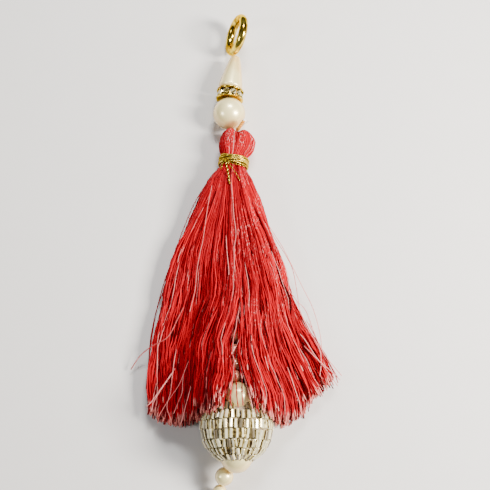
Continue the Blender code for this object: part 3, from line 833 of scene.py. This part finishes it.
def build_pearl(name, node, centre, radius, direction, pearl):
    """One drilled pearl whose hole runs along direction."""
    turn = Vector(direction).to_track_quat("Z", "Y").to_matrix().to_4x4()
    bm = spun(pearl_outline(radius), PEARL_STEPS, at(centre, turn))
    mark_upward(bm, centre[2], radius)
    new_piece(name, bm, pearl, [node])


def mark_upward(bm, centre_z, radius):
    """Store 0 at the underside and 1 on top as the tone of each vertex, which places the painted shade."""
    layer = bm.verts.layers.float.new("tone")
    for vert in bm.verts:
        vert[layer] = (vert.co.z / MM - centre_z) / (2 * radius) + 0.5


def build_pearls(pearl, red_reflection_pearl):
    build_pearl("pearl_above_head", "top_pearl", *TOP_PEARL, (0.02, 1, 0), pearl)
    build_pearl("pearl_ball_top", "ball_top_pearl", *BALL_TOP_PEARL, (-0.1, 0.8, -0.4), pearl)
    build_pearl("pearl_ball_bottom", "bottom_pearl", *BALL_BOTTOM_PEARL, (0, 1, 0), pearl)
    build_pearl("pearl_small", "small_pearl", *SMALL_PEARL, (0.6, 1.0, 0.6), pearl)
    build_pearl("pearl_end", "end_bead", *END_BEAD, (0.3, 1.0, 0.6), pearl)
    for k, place in enumerate(CHAIN_PEARLS):
        build_pearl(f"pearl_string_{k + 1}", f"chain_pearl_{k + 1}", Vector(place), CHAIN_PEARL_RADIUS,
                    (0.03, 1, -0.2), red_reflection_pearl)


# Beaded ball

def build_ball(core_finish, bugle):
    """The core is closed at the top, and hollowed for the pearl on its shoulder and for the one below."""
    turn_end = math.pi - math.radians(CORE_HOLLOW_DEG)
    outline = []
    for k in range(CORE_OUTLINE_STEPS + 1):
        angle = turn_end * k / CORE_OUTLINE_STEPS
        outline.append((CORE_RADIUS * math.sin(angle), CORE_RADIUS * math.cos(angle)))
    outline += CORE_HOLLOW
    bm = spun(outline, CORE_STEPS, at(BALL_CENTRE, UP_THE_TASSEL))
    pearl, radius = BALL_TOP_PEARL
    seat = (radius + CORE_PEARL_GAP) * MM
    for vert in bm.verts:
        offset = vert.co - pearl * MM
        if offset.length < seat:
            vert.co = pearl * MM + offset.normalized() * seat
    new_piece("ball_core", bm, core_finish, ())
    build_bugles(bugle)


def bugle_mesh(length):
    """One tube bead along Z with a hole, softened ends and a UV map round it."""
    outer, inner, edge, half = BUGLE_RADIUS, BUGLE_HOLE_RADIUS, BUGLE_EDGE, length / 2
    outline = [(inner, half - edge), (inner + edge, half), (outer - edge, half), (outer, half - edge),
               (outer, -half + edge), (outer - edge, -half), (inner + edge, -half), (inner, -half + edge)]
    bm = spun(outline, BUGLE_SIDES)
    layer = bm.loops.layers.uv.new("UVMap")
    for face in bm.faces:
        middle = face.calc_center_median()
        base = math.atan2(middle.y, middle.x)
        for loop in face.loops:
            angle = math.atan2(loop.vert.co.y, loop.vert.co.x)
            swing = (angle - base + math.pi) % (2 * math.pi) - math.pi
            loop[layer].uv = ((base + swing) / (2 * math.pi), loop.vert.co.z / (length * MM) + 0.5)
    mesh = bpy.data.meshes.new("bugle")
    bm.to_mesh(mesh)
    bm.free()
    return mesh


def build_bugles(bugle):
    """Rows of short tube beads. Each is a little out of line and has a tone of its own."""
    chance = random.Random(11)
    bm = bmesh.new()
    tone = bm.verts.layers.float.new("tone")
    bm.loops.layers.uv.new("UVMap")
    pearl, pearl_radius = BALL_TOP_PEARL
    radius = BALL_RADIUS - BUGLE_RADIUS
    up = Vector((0.0, 0.0, 1.0))
    for row, (start, end, count) in enumerate(BUGLE_ROWS):
        middle = math.radians((start + end) / 2)
        mesh = bugle_mesh(2 * radius * math.tan(math.radians(end - start) / 2) * BUGLE_LENGTH_SHARE)
        for k in range(count):
            around = 2 * math.pi * (k + BUGLE_STAGGER * row + chance.uniform(-0.06, 0.06)) / count
            tilt = middle + chance.uniform(-0.026, 0.026)
            side = Vector((math.sin(around), math.cos(around), 0.0))
            out = side * math.cos(tilt) - up * math.sin(tilt)
            axis = side * math.sin(tilt) + up * math.cos(tilt)
            turn = Matrix((axis.cross(out), out, axis)).transposed().to_4x4()
            turn = turn @ Matrix.Rotation(math.radians(chance.uniform(-8, 8)), 4, "Y")
            spin = Matrix.Rotation(chance.uniform(0, math.pi), 4, "Z")
            place = out * (radius + chance.uniform(-0.12, 0.1))
            shade = chance.random()
            # None where the pearl sits on the ball's shoulder
            if (UP_THE_TASSEL @ place + BALL_CENTRE - pearl).length < pearl_radius + BUGLE_PEARL_GAP:
                continue
            for vert in merge(bm, mesh, at(place, turn @ spin)):
                vert[tone] = shade
    bmesh.ops.transform(bm, matrix=at(BALL_CENTRE, UP_THE_TASSEL), verts=bm.verts)
    # The lowest beads rest on the surface
    for vert in bm.verts:
        vert.co.z = max(vert.co.z, LOWEST_Z * MM)
    bmesh.ops.recalc_face_normals(bm, faces=bm.faces)
    new_piece("bugle_beads", bm, bugle, ["bead_ball"], smooth_deg=30)


# Silk

def head_dip(x, y):
    """How far the top of the head sinks at x, in the notch and towards the lower lobe on the right."""
    dip = NOTCH_DEPTH * math.exp(-(x / NOTCH_WIDTH) ** 2) + RIGHT_LOBE_DIP * max(x, 0.0)
    return dip * float(smooth_step((y - NOTCH_START_Y) / NOTCH_BLEND))


def head_surface(y, angle, swell):
    """A point on the head at height y and angle round it, swell mm outside the sections."""
    middle = column(HEAD_SECTIONS, y, 1)
    half_width = column(HEAD_SECTIONS, y, 2) + swell
    low = column(HEAD_SECTIONS, y, 3) - swell * 0.4
    high = column(HEAD_SECTIONS, y, 4) + swell
    x = middle + half_width * math.cos(angle)
    z = (low + high) / 2 + (high - low) / 2 * math.sin(angle)
    return Vector((x, y - head_dip(x, y), z))


def build_head(silk):
    """The looped head: strands run from the notch over the top and down into the binding."""
    chance = random.Random(23)
    strands, tones, pales = [], [], []
    root_y, root_z = HEAD_ROOT_CENTRE
    for k in range(HEAD_STRANDS):
        angle = 2 * math.pi * (k + chance.uniform(-0.4, 0.4)) / HEAD_STRANDS
        swell = chance.choice(HEAD_LAYERS)
        drift = chance.uniform(-0.12, 0.12)
        rows = [(HEAD_ROOT_HALF_WIDTH * math.cos(angle), root_y,
                 root_z + HEAD_ROOT_HALF_DEPTH * math.sin(angle), HEAD_ROOT_RADIUS)]
        for y in HEAD_HEIGHTS:
            lean = drift * (y - HEAD_CROSSING_Y) / HEAD_LEAN_LENGTH
            point = head_surface(y, angle + lean, swell + chance.uniform(-0.02, 0.02))
            rows.append((*point, HEAD_STRAND_RADIUS))
        strands.append(np.array(rows))
        # There are more pale strands on the right, where the light falls: they are partly pale thread and
        # partly painted highlight.
        right = math.cos(angle) * 0.5 + 0.5
        tones.append(chance.uniform(0.25, 0.95))
        pales.append(chance.uniform(0.2, 0.6) if chance.random() < 0.05 + 0.12 * right else 0.0)
    tube_piece("silk_head", strands, 6, silk, (), tones, pales)
    build_core(silk)


def build_core(silk):
    """Packed silk inside the head and neck, behind the strands."""
    bm = bmesh.new()
    ring = bmesh.ops.create_circle(bm, segments=PACKED_SIDES, radius=1.0, cap_ends=False)["verts"]
    first = edges = list(bm.edges)
    angles = [math.atan2(vert.co.y, vert.co.x) for vert in ring]
    for k, (y, middle, half_width, low, high) in enumerate(PACKED_SECTIONS):
        if k:
            ring, edges = extruded(bm, edges)
            angles = [math.atan2(vert.co.z / MM - centre_z, vert.co.x / MM - centre_x) for vert in ring]
        centre_x, centre_z = middle, (low + high) / 2
        for vert, angle in zip(ring, angles):
            x = middle + half_width * PACKED_SHARE * math.cos(angle)
            z = centre_z + (high - low) / 2 * PACKED_SHARE * math.sin(angle)
            vert.co = Vector((x, y - head_dip(x, y) - PACKED_BELOW, z)) * MM
    bmesh.ops.edgenet_fill(bm, edges=edges)
    bmesh.ops.edgenet_fill(bm, edges=first)
    bmesh.ops.recalc_face_normals(bm, faces=bm.faces)
    for name, value in (("tone", 0.35), ("along", 0.3), ("pale", 0.0)):
        layer = bm.verts.layers.float.new(name)
        for vert in bm.verts:
            vert[layer] = value
    new_piece("silk_core", bm, silk, ["tassel"])


def section_point(u, v, y):
    """Where strand (u, v) crosses the skirt at each y of an array. u and v run from -1 to 1."""
    left = column(SKIRT_SECTIONS, y, 1) + EDGE_MARGIN
    right = column(SKIRT_SECTIONS, y, 2) - EDGE_MARGIN
    low = column(SKIRT_SECTIONS, y, 3)
    high = column(SKIRT_SECTIONS, y, 4)
    flat = smooth_step((ROUND_ABOVE_Y - y) / (ROUND_ABOVE_Y - FLAT_BELOW_Y))
    across = u * math.sqrt(1 - v * v / 2)
    across = across + (u - across) * flat
    up = (v * math.sqrt(1 - u * u / 2) + 1) / 2
    up_flat = (v + 1) / 2 * (1 - EDGE_FLATTENING * u * u)
    up = up + (up_flat - up) * flat
    x = (left + right) / 2 + (right - left) / 2 * across
    # Low down, the strands on each side of the parting spread over their own side of it
    parting = column(PARTING, y, 1)
    gap = column(PARTING, y, 2) * (v >= UPPER_FROM)
    if u < PARTING_U:
        parted = left + (parting - gap - left) * (u + 1) / (PARTING_U + 1)
    else:
        parted = parting + gap + (right - parting - gap) * (u - PARTING_U) / (1 - PARTING_U)
    x = x + (parted - x) * smooth_step((PARTING_TOP_Y - y) / PARTING_BLEND)
    z = low + (high - low) * up
    if v >= UPPER_FROM:
        off_axis = np.abs(x - parting)
        fall = smooth_step((off_axis - RISE_FLAT_HALF_WIDTH) / (RISE_END_HALF_WIDTH - RISE_FLAT_HALF_WIDTH))
        z = z + column(RISE, y, 1) * (1 - fall)
    return x, z


def tip_height(u, v, chance):
    """Where strand (u, v) is cut."""
    x = section_point(u, v, np.array([TIPS_MEASURED_AT_Y]))[0][0]
    tip = float(column(SKIRT_TIPS, x, 1))
    if v < UPPER_FROM and abs(x) < LOWER_STOP_HALF_WIDTH:
        tip = LOWER_STOP_Y
    if v >= UPPER_FROM and chance.random() < ARCH_SHARE:
        tip = max(tip, float(column(ARCH, abs(x - ARCH_MIDDLE_X), 1)))
    mean, spread, least, most = TIP_SCATTER
    scatter = chance.gauss(mean, spread)
    if chance.random() < SHORT_SHARE:
        scatter += chance.uniform(*SHORT_BY)
    return tip + min(max(scatter, least), most)


def random_wave(chance, amounts, lengths):
    """Amount, length and phase of a wave along the tassel."""
    return chance.uniform(*amounts), chance.uniform(*lengths), chance.uniform(*PHASES)


def ripple(wave, y, reach):
    """How far a wave moves a strand at y. reach is its growth from the binding down."""
    amount, length, phase = wave
    return amount * reach * np.sin(2 * math.pi * y / length + phase)


def skirt_strand(u, v, thickness, locks, chance):
    """One strand from the binding to its cut end: it follows its lock and adds a wander of its own."""
    tip_y = tip_height(u, v, chance)
    t = np.linspace(0, 1, STRAND_POINTS)
    y = SKIRT_TOP_Y + (tip_y - SKIRT_TOP_Y) * t ** 0.93
    x, z = section_point(u, v, y)
    lock = locks[min(int((u + 1) / 2 * LOCKS), LOCKS - 1)]
    reach = smooth_step((t - 0.05) / 0.6)
    for wave in (*lock, random_wave(chance, *SIDEWAYS_WAVE)):
        x = x + ripple(wave, y, reach)
    x = x + chance.gauss(0, END_SPREAD) * reach * t ** 2
    z = z + ripple(random_wave(chance, *UPWARD_WAVE), y, reach)
    crimp = np.array([chance.gauss(0, CRIMP) for _ in t]) * smooth_step(t * 12)
    x = x + crimp
    radius = chance.uniform(*STRAND_RADII) * thickness
    z = np.maximum(z, radius + LOWEST_Z)
    taper = np.where(t > 0.97, END_TAPER, 1.0)
    return np.column_stack((x, y, z, radius * taper))


def build_skirt(silk_left, silk_right, lower_silk):
    """Four layers of strands: two side by side on top, one in the middle and one underneath."""
    chance = random.Random(41)
    locks = [[random_wave(chance, *limits) for limits in LOCK_WAVES] for _ in range(LOCKS)]
    layers = (
        ("skirt_upper_left", silk_left, -1.0, SIDES_MEET_AT_U, UPPER_FROM, 1.0),
        ("skirt_upper_right", silk_right, SIDES_MEET_AT_U, 1.0, UPPER_FROM, 1.0),
        ("skirt_middle", lower_silk, -1.0, 1.0, MIDDLE_FROM, UPPER_FROM),
        ("skirt_lower", lower_silk, -1.0, 1.0, -1.0, MIDDLE_FROM),
    )
    for name, silk, u_low, u_high, v_low, v_high in layers:
        strands, tones, pales = [], [], []
        for k in range(LAYER_STRANDS):
            u = u_low + (u_high - u_low) * (k + chance.random()) / LAYER_STRANDS
            v = min(v_low + (v_high - v_low) * chance.random(), 0.999)
            is_pale = chance.random() < PALE_SHARE
            thickness = PALE_THICKNESS if is_pale else 1.0
            strands.append(skirt_strand(u, v, thickness, locks, chance))
            tones.append(chance.betavariate(2.2, 2.0))
            pales.append(chance.uniform(0.3, 0.8) if is_pale else 0.0)
        tube_piece(name, strands, 4, silk, (), tones, pales)


# Strands that lie apart from the skirt or over it: paleness, then x, y, z along each
STRAYS = (
    # Left of the skirt
    (0.0, (-3.6, 61.8, 4.6), (-5.7, 59.8, 5.0), (-9.0, 53.8, 4.4), (-11.7, 47.1, 3.6), (-14.2, 40.9, 2.8),
     (-16.6, 35.7, 2.0), (-18.4, 29.1, 1.5), (-19.8, 22.5, 1.0), (-20.3, 16.5, 0.7), (-20.4, 8.0, 0.4)),
    (0.1, (-4.0, 61.4, 4.0), (-6.8, 58.6, 4.0), (-10.2, 53.0, 3.6), (-12.8, 46.7, 3.0), (-14.1, 42.9, 2.6),
     (-15.2, 38.6, 2.2), (-16.7, 33.3, 1.8), (-18.9, 27.2, 1.2), (-20.1, 18.0, 0.8), (-20.8, 9.0, 0.4)),
    (0.2, (-12.2, 27.0, 5.6), (-13.4, 24.4, 5.9), (-15.6, 20.0, 6.2), (-19.3, 18.2, 4.4), (-22.2, 16.2, 2.6),
     (-24.3, 13.4, 1.2)),
    # Right of the skirt
    (0.9, (2.2, 57.0, 5.2), (5.8, 49.6, 5.0), (8.4, 45.5, 3.9), (10.8, 41.7, 3.3), (13.1, 37.0, 2.8),
     (15.6, 31.8, 2.2), (17.6, 27.6, 1.8), (19.1, 22.0, 1.4), (19.5, 17.9, 1.0), (19.4, 12.4, 0.6)),
    (0.6, (6.3, 48.1, 5.0), (9.1, 43.5, 3.9), (11.5, 39.8, 3.2), (13.1, 36.2, 2.8), (14.1, 30.1, 2.4),
     (14.8, 24.6, 2.4)),
    (0.8, (7.2, 44.1, 5.0), (9.3, 38.0, 4.6), (11.6, 32.1, 4.2), (13.8, 28.8, 4.0), (15.9, 26.3, 3.8),
     (18.1, 19.9, 3.2)),
    (0.9, (13.6, 29.0, 4.4), (14.9, 25.2, 4.4), (16.2, 22.0, 4.4), (18.4, 18.3, 4.4), (19.0, 15.1, 4.4),
     (18.6, 11.4, 4.7)),
    (0.5, (15.8, 24.3, 4.3), (18.4, 19.2, 4.3), (21.0, 14.2, 4.3), (22.7, 11.0, 4.3)),
    # On the skirt
    (0.5, (-1.5, 57.0, 8.3), (-1.0, 51.6, 7.9), (-0.8, 48.2, 7.7), (-0.3, 43.9, 7.6), (-0.7, 40.0, 7.6),
     (-0.5, 35.2, 7.8), (0.2, 31.4, 8.0), (0.7, 28.0, 8.7), (0.9, 23.7, 9.6)),
    (0.4, (-6.0, 56.1, 7.2), (-6.7, 52.4, 7.0), (-7.4, 47.6, 6.6), (-8.0, 42.8, 6.3), (-8.7, 39.5, 6.0),
     (-9.3, 35.7, 5.8), (-9.7, 31.0, 5.6), (-10.8, 25.9, 5.6)),
    (0.6, (-2.6, 43.6, 7.4), (-2.4, 40.0, 7.5), (-2.1, 37.1, 7.7), (-1.9, 34.2, 8.0), (-2.5, 30.9, 8.1),
     (-3.4, 27.1, 8.6), (-4.7, 23.0, 8.7), (-5.3, 18.9, 8.7)),
    (0.5, (-7.6, 28.4, 6.5), (-8.4, 21.5, 6.6), (-9.1, 14.6, 7.5), (-10.1, 8.4, 7.6)),
    (0.9, (4.1, 28.0, 8.4), (4.7, 20.9, 9.7), (6.0, 15.7, 9.5), (7.7, 9.5, 9.6), (9.2, 5.3, 8.5),
     (10.8, 0.3, 6.6)),
    # Pale tufts at the lower left and right corners
    (1.0, (-13.8, 13.4, 4.3), (-15.2, 10.9, 5.8), (-17.2, 8.0, 5.7), (-18.9, 5.7, 5.4), (-20.1, 4.6, 5.0)),
    (0.9, (-13.9, 13.1, 4.3), (-15.1, 10.9, 5.7), (-17.0, 8.0, 5.7), (-18.4, 5.6, 5.4), (-18.9, 3.6, 5.0)),
    (0.9, (-8.3, 22.0, 5.9), (-8.8, 17.8, 7.3), (-9.4, 12.4, 7.5), (-10.2, 8.4, 7.4), (-11.2, 4.6, 6.9),
     (-12.3, 0.4, 6.4)),
    (0.6, (-13.6, 18.4, 4.2), (-14.0, 15.0, 5.9), (-14.4, 11.1, 6.0), (-14.7, 7.7, 5.9), (-15.4, 4.5, 5.7),
     (-14.5, 1.8, 5.4)),
    (0.5, (-10.3, 15.8, 5.2), (-11.2, 13.4, 6.6), (-12.8, 9.3, 6.4), (-15.4, 5.5, 5.8), (-17.3, 2.4, 5.2)),
    (0.7, (-11.9, 12.5, 4.8), (-12.0, 10.2, 6.4), (-12.1, 7.6, 6.3), (-12.9, 5.5, 6.2), (-13.9, 3.0, 5.9)),
    (0.9, (14.0, 21.6, 3.6), (15.6, 19.2, 5.0), (18.2, 15.2, 4.8), (21.1, 12.6, 4.4), (23.2, 10.6, 4.0)),
    (0.8, (16.6, 23.6, 3.3), (17.5, 21.4, 4.6), (18.8, 18.2, 4.5), (20.3, 15.6, 4.3), (23.6, 11.6, 3.8)),
    (0.7, (15.0, 18.6, 3.8), (16.4, 16.8, 5.2), (19.1, 14.0, 4.9), (20.9, 11.6, 4.6), (22.6, 9.3, 4.0)),
    (0.8, (11.3, 13.4, 5.0), (12.0, 11.0, 6.6), (12.9, 8.1, 6.4), (13.7, 5.8, 6.0), (14.3, 2.8, 5.4)),
    # Across the parting and over the pearls and the ball
    (1.0, (1.6, 28.0, 8.6), (1.6, 24.6, 9.4), (1.4, 21.4, 10.0), (0.3, 18.1, 10.6), (-1.5, 14.9, 11.6),
     (-4.0, 11.8, 12.2), (-6.1, 8.7, 12.7)),
    (0.9, (0.2, 24.4, 9.5), (0.9, 20.9, 10.0), (1.1, 17.2, 10.6), (0.9, 12.7, 12.0), (1.8, 9.4, 14.4),
     (2.8, 5.7, 16.7), (3.4, 3.0, 17.6)),
    (0.0, (-0.2, 17.4, 10.5), (-0.6, 13.6, 11.6), (-1.8, 9.8, 13.8), (-2.4, 6.0, 16.5), (-2.7, 3.4, 17.4)),
    (0.0, (-1.0, 15.8, 10.9), (-0.1, 9.4, 14.0), (0.1, 5.7, 16.4), (0.4, 3.4, 17.3)),
    (0.1, (1.4, 16.3, 10.8), (1.2, 9.8, 13.8), (1.2, 6.2, 16.2), (1.4, 3.8, 17.2)),
    (0.0, (1.6, 16.3, 10.8), (2.4, 9.4, 14.1), (3.7, 5.4, 16.3), (4.7, 2.4, 16.4)),
    (0.1, (-3.3, 21.0, 9.4), (-3.4, 16.3, 10.7), (-5.1, 11.4, 11.8), (-6.5, 7.0, 13.1), (-7.1, 4.4, 13.4)),
    (0.1, (-2.6, 19.0, 9.8), (-2.0, 13.0, 12.0), (-3.6, 7.0, 14.8), (-4.6, 3.6, 15.6)),
    (0.0, (1.0, 20.0, 9.8), (-0.6, 14.5, 11.0), (-0.9, 10.0, 13.4), (-1.2, 5.6, 16.6), (-1.0, 3.6, 17.4)),
)
STRAY_RADIUS = 0.12
STRAY_START_RADIUS = 0.04
# From this paleness on they are thinner
PALE_FROM = 0.3
PALE_STRAY_RADIUS = 0.085


def build_strays(silk):
    """Single strands. Each starts thin, so that it seems to come out from among the others."""
    strands, tones, pales = [], [], []
    for pale, *points in STRAYS:
        radius = STRAY_RADIUS if pale < PALE_FROM else PALE_STRAY_RADIUS
        rows = route(smooth_path(points, STRAND_POINTS), radius)
        rows[0][3] = STRAY_START_RADIUS
        strands.append(rows)
        tones.append(0.45 + 0.4 * pale)
        pales.append(pale)
    tube_piece("stray_strands", strands, 6, silk, (), tones, pales)


# Binding, cord and thread ends

def build_binding(gold_thread):
    """Uneven turns of thread, dark ones under bright ones as painted shade, with a small knot and its loose
    tails.
    """
    chance = random.Random(3)
    turn = turn_z(BINDING_YAW_DEG) @ UP_THE_TASSEL
    strands, tones = [], []
    for k in range(BINDING_TURNS):
        height = BINDING_HALF_HEIGHT * chance.uniform(-0.9, 0.9)
        radius = BINDING_RADIUS + BINDING_THICKNESS * k / BINDING_TURNS
        room = BINDING_HALF_HEIGHT + BINDING_THREAD_RADIUS - abs(height)
        lean = room * chance.uniform(0.5, 1.0) * chance.choice((-1, 1))
        facing = chance.uniform(0, 2 * math.pi)
        waves = chance.choice((1, 2, 2))
        rows = []
        for step in range(BINDING_STEPS + 1):
            angle = 2 * math.pi * step / BINDING_STEPS
            reach = radius + BINDING_RIPPLE * math.sin(5 * angle + 3 * facing)
            point = Vector((reach * math.cos(angle), reach * math.sin(angle),
                            height + lean * math.sin(waves * angle + facing)))
            rows.append((*(turn @ point + BINDING_CENTRE), BINDING_THREAD_RADIUS))
        strands.append(np.array(rows))
        # The inner turns, which lie under the others, are dark with painted shade.
        tones.append(0.0 if k < BINDING_TURNS * BINDING_PAINTED_SHADE_SHARE else chance.uniform(0.55, 1.0))
    for _ in range(KNOT_LOOPS):
        axis = Vector((chance.uniform(-1, 1), chance.uniform(-1, 1), chance.uniform(-0.4, 1))).normalized()
        turned = axis.to_track_quat("Z", "Y").to_matrix()
        strands.append(thread_loop(KNOT_CENTRE, turned, KNOT_LOOP_RADIUS, KNOT_THREAD_RADIUS, 24))
        tones.append(chance.uniform(0.1, 0.6))
    for k, tail in enumerate(BINDING_TAILS):
        width = FIRST_TAIL_WIDTH if k == 0 else OTHER_TAIL_WIDTH
        strands += plies(smooth_path(tail, 46), width, width * 0.9, TAIL_PITCH, 2)
        # One ply is bright and the other dark
        tones += [0.8, 0.0]
    tube_piece("gold_binding", strands, 6, gold_thread, ["neck_binding"], tones)


def build_cords(orange, white):
    """The cord and thread ends in the notch, the string's thread and the knot at its lower end."""
    cord = plies(smooth_path(CORD_PATH, 48), *CORD_TWIST)
    tube_piece("cord_end", cord, 8, orange, ["hanging_cord"])
    end = plies(smooth_path(THREAD_END_PATH, 30), *THREAD_END_TWIST)
    tube_piece("white_thread_end", end, 6, white, ["thread_end"])
    thread = plies(smooth_path(CHAIN_THREAD_PATH, 90), *CHAIN_THREAD_TWIST)
    tube_piece("string_thread", thread, 6, white, ["chain_thread"])
    centre, radius = END_KNOT
    knot = []
    for k in range(END_KNOT_LOOPS):
        turned = Matrix.Rotation(k * 0.7, 3, "Z") @ Matrix.Rotation(0.6 + k * 0.5, 3, "X")
        knot.append(thread_loop(centre, turned, radius - END_KNOT_INSET, END_KNOT_THREAD_RADIUS, 28))
    tube_piece("thread_knot", knot, 8, white, ["end_knot"])


# Floor, light and camera

def build_stage():
    bm = bmesh.new()
    bmesh.ops.create_grid(bm, x_segments=1, y_segments=1, size=FLOOR_HALF_M)
    mesh = bpy.data.meshes.new("floor")
    bm.to_mesh(mesh)
    bm.free()
    floor = bpy.data.objects.new("floor", mesh)
    bpy.context.scene.collection.objects.link(floor)
    bench = Bench("pale_floor")
    grain = bench.noise(8.0, (1, 1, 1), 2.0)
    colour = bench.mix(grain, (0.70, 0.675, 0.65), (0.72, 0.70, 0.675))
    mesh.materials.append(bench.set(base_color=colour, roughness=0.85))


def area_light(name, place, aim, size, power, colour):
    data = bpy.data.lights.new(name, "AREA")
    data.shape = "RECTANGLE"
    data.size, data.size_y = size[0] * MM, size[1] * MM
    data.energy = power
    data.color = colour
    lamp = bpy.data.objects.new(name, data)
    bpy.context.scene.collection.objects.link(lamp)
    lamp.location = Vector(place) * MM
    lamp.rotation_euler = (Vector(aim) - Vector(place)).to_track_quat("-Z", "Y").to_euler()


def build_lights():
    for light in LIGHTS:
        area_light(*light)
    world = bpy.data.worlds.new("studio")
    world.use_nodes = True
    background = world.node_tree.nodes["Background"]
    background.inputs["Color"].default_value = STUDIO_COLOUR
    background.inputs["Strength"].default_value = STUDIO_STRENGTH
    bpy.context.scene.world = world


def build_camera():
    data = bpy.data.cameras.new("camera")
    data.lens = CAMERA_LENS
    data.sensor_width = 36.0
    data.clip_start = 0.005
    camera = bpy.data.objects.new("camera", data)
    bpy.context.scene.collection.objects.link(camera)
    camera.location = CAMERA_PLACE * MM
    camera.rotation_euler = (math.radians(CAMERA_TILT_DEG), 0, 0)
    bpy.context.scene.camera = camera


def main():
    build_camera()
    build_stage()
    build_lights()
    gold = gold_finish()
    pearl = pearl_finish("pearl", (1.0, 0.87, 0.43), (0.84, 0.58, 0.22))
    # The small pearls deep in the skirt have a painted red reflection of the silk, with darker painted
    # shade.
    red_reflection_pearl = pearl_finish("red_reflection_pearl", (0.74, 0.27, 0.16), (0.42, 0.08, 0.05))
    white = thread_finish("white_thread", (0.88, 0.85, 0.78), (0.62, 0.56, 0.46))
    orange = thread_finish("orange_cord", (0.80, 0.32, 0.0), (0.35, 0.10, 0.0))
    # The silk finishes differ in how much painted highlight they carry: most on the head and on the lit
    # right side, little on the left and the strays, least on the lower layers, which lie in shade.
    silk_left = silk_finish("silk_left", 0.12, 0.22, 3.0)
    silk_right = silk_finish("silk_right", 0.65, 0.22, 3.0)
    silk_lower = silk_finish("silk_lower", 0.05, 0.22, 3.0)
    silk_head = silk_finish("silk_head", 1.0, 0.22, 1.9)
    build_ring(gold)
    build_drop(pearl)
    build_rondelle(gold, crystal_finish())
    build_pearls(pearl, red_reflection_pearl)
    build_ball(ball_core_finish(), bugle_finish())
    build_head(silk_head)
    build_skirt(silk_left, silk_right, silk_lower)
    build_strays(silk_left)
    build_binding(gold_thread_finish())
    build_cords(orange, white)


main()
